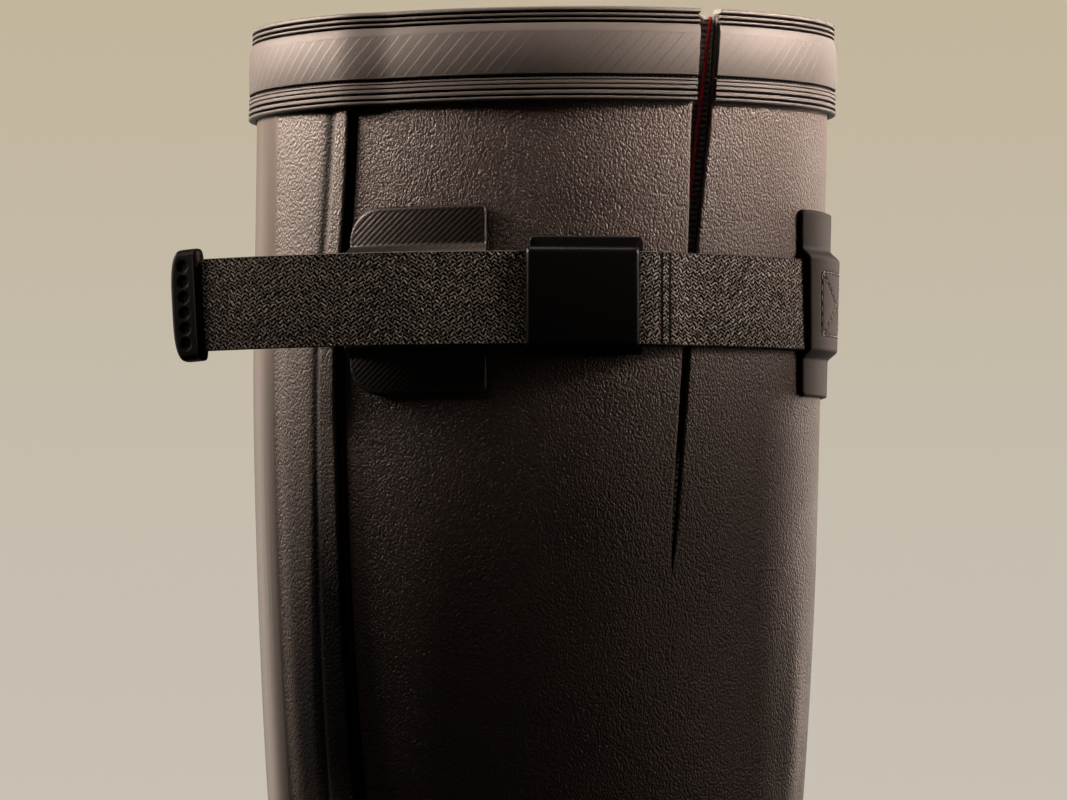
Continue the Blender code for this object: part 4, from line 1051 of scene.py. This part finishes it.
def make_gusset():
    """Pleated cloth behind the slit: the fold line drawn smooth, half the cloth's thickness each
    side of it, carried up the slit and growing wider; a red cord runs on its folded edge."""
    heights = np.linspace(GUSSET_FOOT, GUSSET_TOP, 56)
    levels = level_at(heights)
    share = (heights - GUSSET_FOOT) / (GUSSET_TOP - GUSSET_FOOT)
    narrow = GUSSET_NARROW + (1.0 - GUSSET_NARROW) * share
    knots = np.arange(float(len(GUSSET)))
    line = hermite(knots, np.array(GUSSET), np.linspace(0.0, len(GUSSET) - 1.0, 90))
    arcs = line[:, 0] * narrow[:, None]
    depths = np.broadcast_to(line[:, 1], arcs.shape)
    run = np.stack([np.gradient(arcs, axis=1), np.gradient(depths, axis=1)], axis=-1)
    run /= np.linalg.norm(run, axis=-1, keepdims=True)
    half = GUSSET_THICKNESS / 2.0
    one = np.stack([arcs - run[..., 1] * half, depths + run[..., 0] * half], axis=-1)
    two = np.stack([arcs + run[..., 1] * half, depths - run[..., 0] * half], axis=-1)
    around = np.concatenate([one, two[:, ::-1]], axis=1)
    fold = FOLD_ARC + (heights - BOOT_HEIGHT) * FOLD_LEAN
    theta = walk(levels, slit_theta(heights), around[..., 0] + fold[:, None])
    points = surface(levels[:, None], theta, -WALL - around[..., 1])
    cloth = knitted_cloth("polyester_gusset_cloth", "121111", "201e1d", 0.8)
    # Painted light just below the cloth's top, full on the left part of the fold and a quarter as
    # strong on the right.
    least = 0.25
    left = least + (1.0 - least) * smooth(-around[..., 0])
    painted_light = bell((heights - GUSSET_TOP + PAINTED_LIGHT_BELOW) / PAINTED_LIGHT_REACH)[:, None] * left
    gusset = add_piece("gusset_cloth", points, sweep_faces(*theta.shape), [cloth], "gusset",
                       values={"painted_light": painted_light})
    spots = walk(levels, slit_theta(heights), (fold - CORD_ARC)[:, None])[:, 0]
    make_cord(surface(levels, spots, -WALL - CORD_DEPTH))


def make_cord(path):
    """Round cord along a path: circles square to it, their radius rippled by a cosine of three
    strands that wind around it."""
    strands = 3.0
    ripple = 0.05
    knots = running_length(path)
    fine = hermite(knots, path, np.arange(0.0, knots[-1], 0.35))
    run = np.gradient(fine, axis=0)
    run /= np.linalg.norm(run, axis=-1, keepdims=True)
    side = np.cross(run, (1.0, 0.0, 0.0))
    side /= np.linalg.norm(side, axis=-1, keepdims=True)
    other = np.cross(run, side)
    turn = np.linspace(0.0, 2.0 * math.pi, 14, endpoint=False)
    phase = strands * turn - 2.0 * math.pi * running_length(fine)[:, None] / STRAND_PITCH
    radius = CORD_RADIUS * (1.0 - ripple + ripple * np.cos(phase))
    spread = np.cos(turn)[:, None] * side[:, None] + np.sin(turn)[:, None] * other[:, None]
    points = fine[:, None] + radius[..., None] * spread
    # The attribute paints shade between the strands as they wind around.
    add_piece("gusset_cord", points, sweep_faces(len(fine), len(turn)), [red_cord()],
              "gusset_piping", values={"yarn_tone_and_light": 0.5 + 0.5 * np.cos(phase)})


def buckle_frame():
    """Place on the shaft, run and outward direction of the buckle."""
    level = float(level_at(STRAP_HEIGHT))
    theta = float(theta_at(level, BUCKLE_X))
    place = base_point(level, theta)
    ahead = base_point(level, theta + 0.01) - base_point(level, theta - 0.01)
    run = np.array([ahead[0], ahead[1], 0.0])
    run /= np.linalg.norm(run)
    out = np.array([run[1], -run[0], 0.0])
    return np.array([place[0], place[1], STRAP_HEIGHT]), run, out


def around_shaft(thetas, off):
    """Points at the strap's height off the shaft, and their outward directions in plan."""
    level = float(level_at(STRAP_HEIGHT))
    spot = base_point(level, thetas)
    side = surface(level, thetas, 1.0) - surface(level, thetas)
    side[:, 2] = 0.0
    side /= np.linalg.norm(side, axis=-1, keepdims=True)
    spot[:, 2] = STRAP_HEIGHT
    return spot + off * side, side


def weave_height(along_mm, across_mm):
    """Crown of the yarn and its tone, 0 to 1: rows that run in a zigzag along the strap, each row a
    narrow cosine ridge that dips where the zigzag turns, so that every stroke reads as one oval of
    yarn. Slow sines shift the rows, and each stroke has a tone of its own."""
    period = 2.2
    row = 1.08
    drift = 0.1 * np.sin(0.83 * along_mm + 1.9 * across_mm) + 0.07 * np.sin(2.3 * along_mm - across_mm)
    place = (along_mm + 0.3 * np.sin(1.7 * across_mm) + 0.12 * np.sin(3.1 * along_mm)) / period
    zig = np.abs(place % 1.0 - 0.5) * 4.0 - 1.0
    rank = (across_mm + drift + 0.6 * zig) / row
    ridge = (0.5 + 0.5 * np.cos(2.0 * math.pi * rank)) ** 1.5
    seed = np.sin(12.9898 * np.round(rank) + 78.233 * np.floor(2.0 * place)) * 437.5453
    crown = ridge * (1.0 - 0.75 * np.abs(zig) ** 4)
    return crown, 0.65 + 0.35 * (seed % 1.0)


def webbing(name, keys, outs, lows, yarn, solid, seams=()):
    """Flat webbing along a smooth line of inner-face points: a closed cross-section of woven
    front, rounded selvedges and plainer back, carried along the line. The yarn's crown lifts the
    faces, and a flat-bottomed bell presses it down at each sewn line. The crown also paints a
    highlight on the yarn and shade between, and the selvedges take one fixed tone."""
    selvedge = 0.5
    crown_height = 0.4
    back_share = -0.4
    sewn_half = 0.42
    edge_tone = 0.25
    knots = running_length(keys)
    places = np.arange(0.0, knots[-1], 0.29)
    line = hermite(knots, keys, places)
    out = hermite(knots, outs, places)
    out /= np.linalg.norm(out, axis=-1, keepdims=True)
    low = hermite(knots, lows, places)
    flat = STRAP_WIDTH / 2.0 - selvedge
    front = np.linspace(-flat, flat, 96)
    back = np.linspace(flat, -flat, 30)
    turn = np.linspace(-math.pi / 2.0, math.pi / 2.0, 7)[1:-1]
    soft = STRAP_THICKNESS / 2.0
    across = np.concatenate([front, flat + selvedge * np.cos(turn), back,
                             -flat - selvedge * np.cos(turn)])
    depth = np.concatenate([np.full_like(front, STRAP_THICKNESS), soft - soft * np.sin(turn),
                            np.zeros_like(back), soft + soft * np.sin(turn)])
    face = np.concatenate([np.ones_like(front), np.zeros_like(turn),
                           np.full_like(back, back_share), np.zeros_like(turn)])
    crown, tone = weave_height(places[:, None], across[None, :])
    for seam in seams:
        spot = np.interp(seam, line[::-1, 0], places[::-1])
        crown = crown * (1.0 - bell(((places[:, None] - spot) / sewn_half) ** 2))
    lift = depth + face * (crown - 1.0) * crown_height
    points = line[:, None] + out[:, None] * lift[..., None]
    points[..., 2] += across - low[:, None]
    # Painted light: the crown lights the yarn and shades the hollows between, times each stroke's own
    # tone.
    light = np.where(face == 0.0, edge_tone, crown * tone)
    add_piece(name, points, sweep_faces(*lift.shape), [yarn], solid,
              values={"yarn_tone_and_light": light})


def make_straps():
    """Strap from the front patch through the buckle to its free end, which curls inwards on a
    circle, and the short webbing that holds the buckle to the rear patch."""
    yarn = strap_webbing()
    centre, run, out = buckle_frame()
    level = float(level_at(STRAP_HEIGHT))
    reach = BUCKLE_LENGTH / 2.0 + 1.0
    lead = 14.0
    before_front = -10.0
    edge = theta_at(level, centre[0] + run[0] * (reach + lead))
    front = walk(level, math.pi, np.array([before_front]))[0, 0]
    wrap, sides = around_shaft(np.linspace(front, float(edge), 13), GAP + 0.4)
    straight = centre + out * STRAP_OFF + run * np.linspace(reach, -reach, 6)[:, None]
    length = np.linspace(0.0, FREE_END, 15)[1:, None]
    turn = length / FREE_RADIUS
    free = straight[-1] - run * FREE_RADIUS * np.sin(turn) - out * FREE_RADIUS * (1.0 - np.cos(turn))
    outs = np.concatenate([sides, np.broadcast_to(out, straight.shape),
                           out * np.cos(turn) - run * np.sin(turn)])
    lows = np.concatenate([np.zeros(len(wrap) + len(straight)),
                           FREE_DROOP * (length[:, 0] / FREE_END) ** 1.5])
    webbing("webbing_strap", np.concatenate([wrap, straight, free]), outs, lows, yarn, "strap",
            seams=STRAP_SEAMS)
    make_end_tab(free[-1], outs[-1], lows[-1])
    start = theta_at(level, centre[0] - run[0] * (BUCKLE_LENGTH / 2.0 + 0.4))
    end = theta_at(level, SHORT_END_X)
    short, faces = around_shaft(np.linspace(float(start), float(end), 8), GAP + 0.35)
    webbing("webbing_short", short, faces, np.zeros(len(short)), yarn, "buckle_strap")


def placed(points, place, run, out):
    """Local points (along the run, outwards, up) set at a place."""
    up = np.cross(run, out)
    return place + points[..., :1] * run + points[..., 1:2] * out + points[..., 2:] * up


def tab_side(rise, wide, power):
    """Half width of the tab's outline at a share of its half height: a superellipse."""
    return wide * (1.0 - np.abs(rise) ** power) ** (1.0 / power)


def make_end_tab(place, out, low):
    """Moulded tab on the strap's free end: a grid between a bulging left side and a straight right
    one, its two faces domed in a quarter circle at the outline, with a row of shallow round
    hollows and a low lip beside the strap."""
    run = np.array([-out[1], out[0], 0.0])
    middle = place - run * TAB_OVERLAP + out * (STRAP_THICKNESS / 2.0) - np.array([0.0, 0.0, low])
    half = TAB_THICKNESS / 2.0
    wide = TAB_WIDTH / 2.0
    tall = TAB_HEIGHT / 2.0
    bulging, straight = 3.4, 9.0
    lip_rise, lip_width = 0.25, 2.5
    even = np.linspace(-1.0, 1.0, 150)
    rise = np.sin((even ** 3 + even) * 0.25 * math.pi)
    left = -tab_side(rise, wide + TAB_BULGE, bulging)[:, None]
    right = tab_side(rise, wide - TAB_BULGE, straight)[:, None]
    share = np.linspace(0.0, 1.0, 56)
    share = 0.6 * (0.5 - 0.5 * np.cos(math.pi * share)) + 0.4 * share
    x = left + (right - left) * share
    z = np.broadcast_to(tall * rise[:, None], x.shape)
    edge = np.minimum(np.minimum(x - left, right - x), tall - np.abs(z))
    dome = np.sqrt(1.0 - (1.0 - np.clip(edge / TAB_DOME, 0.0, 1.0)) ** 2)
    centres = (np.arange(TAB_HOLES) - (TAB_HOLES - 1) / 2.0) * HOLE_PITCH
    gap = np.sqrt((x + HOLE_SHIFT)[..., None] ** 2 + (z[..., None] - centres) ** 2).min(axis=-1)
    front = half * dome - HOLE_DEPTH * (1.0 - smooth((gap - HOLE_RADIUS + 0.5) / 0.6))
    front += lip_rise * smooth((x - wide + lip_width) / 0.8) * dome
    local = np.concatenate([np.stack([x, front, z], axis=-1), np.stack([x, -half * dome, z], axis=-1)])
    tilt = math.radians(TAB_TILT)
    turned = local.copy()
    turned[..., 0] = local[..., 0] * math.cos(tilt) + local[..., 2] * math.sin(tilt)
    turned[..., 2] = local[..., 2] * math.cos(tilt) - local[..., 0] * math.sin(tilt)
    plastic = moulded_plastic("polyamide_tab", "020202", 0.48, 0.05)
    add_piece("strap_tip", placed(turned, middle, run, out), [(sheet_faces(*x.shape), 0)], [plastic],
              "strap_end_tab")


def rounded_outline(length, height, corner, count=14):
    """Rectangle with round corners, counted from its right side: four quarter circles."""
    turn = np.linspace(0.0, math.pi / 2.0, count)
    x = np.concatenate([np.cos(turn + k * math.pi / 2.0) for k in range(4)]) * corner
    z = np.concatenate([np.sin(turn + k * math.pi / 2.0) for k in range(4)]) * corner
    x += np.repeat([1.0, -1.0, -1.0, 1.0], count) * (length / 2.0 - corner)
    z += np.repeat([1.0, 1.0, -1.0, -1.0], count) * (height / 2.0 - corner)
    return x, z


def make_buckle_plate(centre, run, out, plastic):
    """Plate against the shaft: a rectangle with round corners, shrunk over its eased edges."""
    rings = [(-9.0, 0.0), (-0.5, 0.0), (-0.15, 0.1), (0.0, 0.4), (0.0, PLATE_THICKNESS - 0.5),
             (-0.15, PLATE_THICKNESS - 0.15), (-0.5, PLATE_THICKNESS), (-9.0, PLATE_THICKNESS)]
    local = []
    for grow, rise in rings:
        x, z = rounded_outline(BUCKLE_LENGTH + 2 * grow, BASE_HEIGHT + 2 * grow, max(1.6 + grow, 0.3))
        local.append(np.stack([x, np.full_like(x, rise), z], axis=-1))
    place = centre + out * PLATE_OFF + run * PLATE_SHIFT + np.array([0.0, 0.0, BASE_RISE])
    points = placed(np.array(local), place, run, out)
    add_piece("buckle_plate", points, sweep_faces(*points.shape[:2]), [plastic], "buckle_base")


def make_buckle_lid(centre, run, out, plastic):
    """Channel-shaped lid over the strap: a U-shaped cross-section with round shoulders and a low
    crown, carried along the strap and drawn in by a quarter circle at its ends."""
    deep = STRAP_THICKNESS + 2.2
    inside = STRAP_THICKNESS + 0.75
    room = STRAP_WIDTH / 2.0 + 0.3
    bend = 1.9
    crown = 0.12
    ease = 1.1
    thinnest = 0.25
    length = BUCKLE_LENGTH - 0.6
    turn = np.linspace(0.0, math.pi / 2.0, 9)
    rounded = ease * (1.0 - np.cos(turn))
    stations = np.concatenate([rounded - length / 2.0, length / 2.0 - rounded[::-1]])
    drawn = np.concatenate([ease * (1.0 - np.sin(turn)), ease * (1.0 - np.sin(turn[::-1]))])
    rings = []
    for place, draw in zip(stations, drawn):
        tall = COVER_HEIGHT / 2.0 - draw * 0.6
        top = deep - draw
        roof = min(inside, top - thinnest)
        shoulder = top - bend + bend * np.sin(turn)
        side = tall - bend + bend * np.cos(turn)
        o = np.concatenate([[0.0], shoulder, [top + crown], shoulder[::-1],
                            [0.0, 0.0, roof, roof, 0.0]])
        h = np.concatenate([[-tall], -side, [0.0], side[::-1], [tall, room, room, -room, -room]])
        rings.append(np.stack([np.full_like(o, place), o, h], axis=-1))
    middle = centre + out * STRAP_OFF - run * PLATE_SHIFT
    points = placed(np.array(rings), middle, run, out)
    add_piece("buckle_lid", points, sweep_faces(*points.shape[:2]), [plastic], "buckle_cover")


def make_buckle():
    """Plate and lid of the buckle in one moulded plastic."""
    centre, run, out = buckle_frame()
    plastic = moulded_plastic("polyamide_buckle", "020202", 0.38, 0.12)
    make_buckle_plate(centre, run, out, plastic)
    make_buckle_lid(centre, run, out, plastic)


def patch_grid(start, arcs, corners, rows, cols):
    """Grid over a patch on the shaft: heights, arcs, angles and the distance to its outline, whose
    corners are quarter circles of their own radius at each end."""
    half = PATCH_HEIGHT / 2.0
    rise = half * np.sin(np.linspace(-math.pi / 2.0, math.pi / 2.0, rows))
    rise = 0.75 * np.linspace(-half, half, rows) + 0.25 * rise
    cuts = []
    for corner in corners:
        near = np.maximum(0.0, np.abs(rise) - half + corner)
        cuts.append(corner - np.sqrt(np.maximum(0.0, corner ** 2 - near ** 2)))
    left = (arcs[0] + cuts[0])[:, None]
    right = (arcs[1] - cuts[1])[:, None]
    share = 0.5 - 0.5 * np.cos(np.linspace(0.0, math.pi, cols))
    share = 0.75 * np.linspace(0.0, 1.0, cols) + 0.25 * share
    across = left + (right - left) * share
    levels = level_at(STRAP_HEIGHT + rise)
    theta = walk(levels, theta_at(levels, start), across)
    high = np.abs(rise)[:, None]
    edge = np.minimum(np.minimum(across - arcs[0], arcs[1] - across), half - high)
    for corner, inset in ((corners[0], across - arcs[0]), (corners[1], arcs[1] - across)):
        gap = np.hypot(np.maximum(corner - inset, 0.0), np.maximum(high - half + corner, 0.0))
        round_zone = (inset < corner) & (high > half - corner)
        edge = np.where(round_zone, np.maximum(corner - gap, 0.0), edge)
    return rise, across, levels, theta, edge


def patch_lift(rise):
    """How far a patch rises over the strap's end under it, eased beside the strap."""
    return TUNNEL * smooth((TUNNEL_HALF - np.abs(rise)) / TUNNEL_EASE)


def add_patch(name, grid, extra, material, solid):
    """Closed patch: outer face with its edge rounded in a quarter circle and its own relief, inner
    face off the shaft."""
    rise, _, levels, theta, edge = grid
    inside = GAP + np.broadcast_to(patch_lift(rise)[:, None], theta.shape)
    crown = np.sqrt(1.0 - (1.0 - np.clip(edge / PATCH_EDGE, 0.0, 1.0)) ** 2)
    thick = PATCH_THICKNESS * (0.25 + 0.75 * crown)
    outer = surface(levels[:, None], theta, inside + thick + extra)
    inner = surface(levels[:, None], theta, inside)
    add_piece(name, np.concatenate([outer, inner]), [(sheet_faces(*theta.shape), 0)], [material],
              solid)


def make_rear_patch():
    """Patch under the strap's free end: slanted ribs parted by narrow grooves, a squared cosine,
    inside a thin border with a beat of stitches."""
    grid = patch_grid(REAR_PATCH_X, (-18.8, 20.6), (9.5, 2.0), 170, 140)
    rise, across, _, _, edge = grid
    pitch = 1.9
    slant = math.radians(42.0)
    groove_depth = 0.09
    stitch_depth = 0.14
    stitch_pitch = 1.5
    phase = (across - rise[:, None] / math.tan(slant)) / pitch
    grooves = (0.5 + 0.5 * np.cos(2.0 * math.pi * phase)) ** 2
    inside = smooth((edge - 1.0) / 0.5)
    beat = 0.5 + 0.5 * np.cos(2.0 * math.pi * (across + rise[:, None]) / stitch_pitch)
    extra = -groove_depth * inside * grooves - stitch_depth * bell((edge - 0.6) / 0.2) * beat
    material = matt_finish("vulcanised_rubber_ribbed", "0c0907", "15110e", 0.42, 0.26)
    add_patch("rear_patch", grid, extra, material, "rear_anchor")


def make_front_patch():
    """Patch over the strap's sewn end at the front, smooth, with a boxed cross of stitching let
    into its raised middle: a bell of the distance to the nearest line."""
    grid = patch_grid(FRONT_PATCH_X, (0.0, 40.0), (2.0, 9.5), 120, 130)
    rise, across, _, _, _ = grid
    low, high, tall = 6.4, 30.0, 8.6
    beside = np.minimum(np.abs(across - low), np.abs(across - high))
    within = (across > low) & (across < high)
    level = np.abs(rise)[:, None] < tall
    box = np.minimum(np.where(level, beside, FAR),
                     np.where(within, np.abs(np.abs(rise) - tall)[:, None], FAR))
    slope = (across - (low + high) / 2.0) * (2.0 * tall / (high - low))
    cross = np.minimum(np.abs(slope - rise[:, None]), np.abs(slope + rise[:, None]))
    line = np.minimum(box, np.where(within & level, cross, FAR))
    furrow, furrow_half = 0.35, 0.45
    extra = -furrow * bell(line / furrow_half)
    material = matt_finish("vulcanised_rubber_smooth", "090706", "0f0c0a", 0.55, 0.05)
    add_patch("front_patch", grid, extra, material, "front_anchor")
    make_stitches(low, high, tall)


def make_stitches(low, high, tall):
    """Thread of the boxed cross: one small oval for each stitch, laid along the six lines on the
    patch's face, each a ring of points around a short run."""
    pitch = 2.5
    long_half, broad_half, high_half = 0.95, 0.28, 0.26
    let_in = 0.12
    lines = [((low, -tall), (high, -tall)), ((high, -tall), (high, tall)), ((high, tall), (low, tall)),
             ((low, tall), (low, -tall)), ((low, -tall), (high, tall)), ((low, tall), (high, -tall))]
    spots = []
    ways = []
    for first, last in lines:
        span = np.subtract(last, first)
        length = float(np.linalg.norm(span))
        count = int(length // pitch)
        share = (np.arange(count) + 0.5) / count
        spots.append(np.array(first) + share[:, None] * span)
        ways.append(np.broadcast_to(span / length, (count, 2)))
    spots = np.concatenate(spots)
    ways = np.concatenate(ways)
    lay = np.linspace(-1.0, 1.0, 7)
    turn = np.linspace(0.0, 2.0 * math.pi, 8, endpoint=False)
    girth = np.sqrt(np.clip(1.0 - lay ** 2, 0.02, 1.0))
    along_way = long_half * lay[:, None] + np.zeros_like(turn)
    aside = broad_half * girth[:, None] * np.cos(turn)
    lifted = high_half * girth[:, None] * np.sin(turn)
    flat = (spots[:, None, None] + along_way[..., None] * ways[:, None, None]
            + aside[..., None] * np.stack([-ways[:, 1], ways[:, 0]], axis=-1)[:, None, None])
    arcs = flat[..., 0].reshape(-1)
    rise = flat[..., 1].reshape(-1)
    levels = level_at(STRAP_HEIGHT + rise)
    theta = walk(levels, theta_at(levels, FRONT_PATCH_X), arcs[:, None])[:, 0]
    off = GAP + patch_lift(rise) + PATCH_THICKNESS - let_in + np.tile(lifted.reshape(-1), len(spots))
    points = surface(levels, theta, off)
    oval = numbers(len(lay), len(turn))
    one = quads(oval, wrap=True)
    caps = oval[[0, -1]]
    shift = (np.arange(len(spots)) * oval.size)[:, None, None]
    faces = [((one + shift).reshape(-1, 4), 0), ((caps + shift).reshape(-1, len(turn)), 0)]
    thread = matt_finish("polyester_thread", "5b5249", "7b7167", 0.6, 0.4)
    add_piece("patch_stitches", points, faces, [thread], None)


def sole_outline(level, off, theta):
    """Loop of the upper moved outwards in plan, square to its own run."""
    step = 0.004
    points = base_point(level, theta)
    ahead = base_point(level, theta + step) - base_point(level, theta - step)
    normal = np.stack([ahead[:, 1], -ahead[:, 0]], axis=-1)
    normal /= np.linalg.norm(normal, axis=-1, keepdims=True)
    points[:, :2] += off * normal
    return points


def underside(x):
    """Height of the sole's underside: the tread, or the arch where that is higher."""
    arch = np.interp(x, [row.x for row in ARCH], [row.height for row in ARCH], left=0.0, right=0.0)
    return np.maximum(tread(x), arch)


def lug_relief(x, y):
    """Depth of the channels between the lugs: slanted slots each side of a spine, walls eased."""
    deep = np.zeros_like(x)
    for row in CHANNELS:
        for side in (-1.0, 1.0):
            turn = math.radians(row.turn * side)
            across = (x - row.x) * math.cos(turn) + y * math.sin(turn)
            reach = -(x - row.x) * math.sin(turn) + y * math.cos(turn)
            beyond = np.abs(across) - CHANNEL_WIDTH / 2.0
            wall = 1.0 - smooth(beyond / CHANNEL_EASE + 0.5)
            deep = np.maximum(deep, wall * smooth((reach * side - SPINE) / CHANNEL_EASE + 0.5))
    lift = smooth((4.0 - underside(x)) / 3.0) + (x > FOREFOOT_X)
    return CHANNEL_DEPTH * deep * np.clip(lift, 0.0, 1.0)


def filled(ring, count):
    """Grid across a closed ring of points: straight lines from its outer side to its inner one."""
    half = len(ring) // 2
    outer = ring[:half + 1]
    inner = np.concatenate([ring[:1], ring[:half - 1:-1]])
    share = np.linspace(0.0, 1.0, count)[:, None]
    return outer[:, None] + (inner - outer)[:, None] * share


def make_sole():
    """Cupped sole in one closed surface: its side profile carried around the foot, the bed filled
    across from side to side, and the tread a grid across with the lugs' channels in it."""
    around = 480
    across = 74
    half = around // 2
    worn_lip = 0.12
    theta = np.linspace(0.0, 2.0 * math.pi, around, endpoint=False)
    rings = []
    for row in SOLE:
        ring = sole_outline(row.level, row.off, theta)
        low = underside(ring[:, 0])
        lug = lug_relief(ring[:, 0], ring[:, 1])
        ring[:, 2] = low + (ring[:, 2] - low) * row.share + row.rise
        if row.share == 0.0:
            ring[:, 2] = low + np.maximum(row.rise, lug + worn_lip * row.rise)
        rings.append(ring)
    floor = filled(rings[-1], across)
    floor[..., 2] = underside(floor[..., 0]) + lug_relief(floor[..., 0], floor[..., 1])
    rows = len(SOLE)
    grid = numbers(rows, around)
    bed_left = np.concatenate([grid[0, :1], grid[0, :half - 1:-1]])
    bed_faces = quads(np.stack([grid[0, 1:half], bed_left[1:half]]))
    ends = np.array([[grid[0, 0], grid[0, 1], grid[0, -1]],
                     [grid[0, half], grid[0, half - 1], grid[0, half + 1]]])
    tread_faces = quads(numbers(half + 1, across, rows * around))
    points = np.concatenate([np.array(rings).reshape(-1, 3), floor.reshape(-1, 3)])
    faces = [(quads(grid, wrap=True), 0), (bed_faces, 0), (ends, 0), (tread_faces, 0)]
    add_piece("boot_sole", points, faces, [sole_rubber()], "outsole")


def make_insole():
    """Felt pad on the sole's bed: rings of the outline drawn in over its edge, its top a grid
    across, dished a little under the heel."""
    around = 240
    across = 26
    theta = np.linspace(0.0, 2.0 * math.pi, around, endpoint=False)
    rings = []
    for inset, rise in INSOLE_RINGS:
        ring = sole_outline(0.0, -WALL - inset, theta)
        ring[:, 2] += rise
        rings.append(ring)
    under = filled(rings[0], across)
    top = filled(rings[-1], across)
    middle = np.sin(math.pi * np.linspace(0.0, 1.0, across)) * bell((top[..., 0] - DISH_X) / DISH_REACH)
    top[..., 2] -= DISH_DEPTH * middle
    side = numbers(len(rings), around)
    lower = numbers(*under.shape[:2], side.size)
    upper = numbers(*top.shape[:2], side.size + lower.size)
    faces = [(quads(side, wrap=True), 0), (quads(lower), 0), (quads(upper), 0)]
    points = [part.reshape(-1, 3) for part in (np.array(rings), under, top)]
    felt = knitted_cloth("wool_felt_insole", "5d564c", "7d7467", 1.4)
    pad = add_piece("insole_pad", np.concatenate(points), faces, [felt], "insole")


def bowl_sector(name, start, sweep, material):
    """Sector of a studio sweep: a flat floor, a quarter circle and a wall, turned about the boot."""
    floor, bend, tall = 3.6, 1.6, 5.0
    below_sole = 0.0003
    flat = np.linspace(0.0, floor, 10)[:-1]
    turn = np.linspace(0.0, math.pi / 2.0, 24)
    radius = np.concatenate([flat, floor + bend * np.sin(turn), [floor + bend]])
    height = np.concatenate([np.zeros_like(flat), bend - bend * np.cos(turn), [tall]]) - below_sole
    around = math.radians(start) + np.linspace(0.0, math.radians(sweep), 97)
    points = np.stack([radius[:, None] * np.cos(around), radius[:, None] * np.sin(around),
                       np.repeat(height[:, None], len(around), axis=1)], axis=-1)
    data = bpy.data.meshes.new(name)
    data.from_pydata(points.reshape(-1, 3).tolist(), [], quads(numbers(*points.shape[:2])).tolist())
    data.polygons.foreach_set("use_smooth", np.ones(len(data.polygons), bool))
    data.materials.append(material)
    obj = bpy.data.objects.new(name, data)
    obj.visible_diffuse = False
    bpy.context.scene.collection.objects.link(obj)
    return obj


def softbox(name, place, aim, size, power, spread):
    """Rectangular area light at a place, turned to its aim, kept out of the camera's view. A
    narrow spread acts as a grid on the box and keeps its light off what is below the beam."""
    lamp = bpy.data.lights.new(name, "AREA")
    lamp.shape = "RECTANGLE"
    lamp.size, lamp.size_y = size
    lamp.energy = power
    lamp.spread = math.radians(spread)
    lamp.color = linear("ffe6d6")[:3]
    obj = bpy.data.objects.new(name, lamp)
    obj.location = place
    obj.rotation_euler = (Vector(aim) - Vector(place)).to_track_quat("-Z", "Y").to_euler()
    obj.visible_camera = False
    bpy.context.scene.collection.objects.link(obj)


def make_stage():
    """Beige sweep all round, softboxes high at both sides, strips behind for the rims, and the
    photograph's camera. Only the sweep right behind the boot shows in reflections, the rest is
    flagged off."""
    paper = backdrop_paper()
    bowl_sector("sweep_behind_boot", 90.0 - SWEEP_SEEN, 2.0 * SWEEP_SEEN, paper)
    rest = bowl_sector("sweep_around", 90.0 + SWEEP_SEEN, 360.0 - 2.0 * SWEEP_SEEN, paper)
    rest.visible_glossy = False
    for light in LIGHTS:
        softbox(*light)
    world = bpy.data.worlds.new("studio_dark")
    world.use_nodes = True
    world.node_tree.nodes["Background"].inputs["Color"].default_value = linear("c5b79d")
    world.node_tree.nodes["Background"].inputs["Strength"].default_value = 0.036
    bpy.context.scene.world = world
    bpy.context.scene.view_settings.view_transform = "Standard"
    lens = bpy.data.cameras.new("photo_camera")
    lens.lens = CAMERA_LENS
    lens.sensor_width = 36.0
    lens.clip_end = 50.0
    camera = bpy.data.objects.new("photo_camera", lens)
    camera.location = Vector(CAMERA_PLACE) * MM
    camera.rotation_euler = (math.radians(90.0 + CAMERA_TILT), 0.0, 0.0)
    bpy.context.scene.collection.objects.link(camera)
    bpy.context.scene.camera = camera


make_stage()
make_upper()
make_collar()
make_rear_panel()
make_gusset()
make_straps()
make_buckle()
make_rear_patch()
make_front_patch()
make_sole()
make_insole()
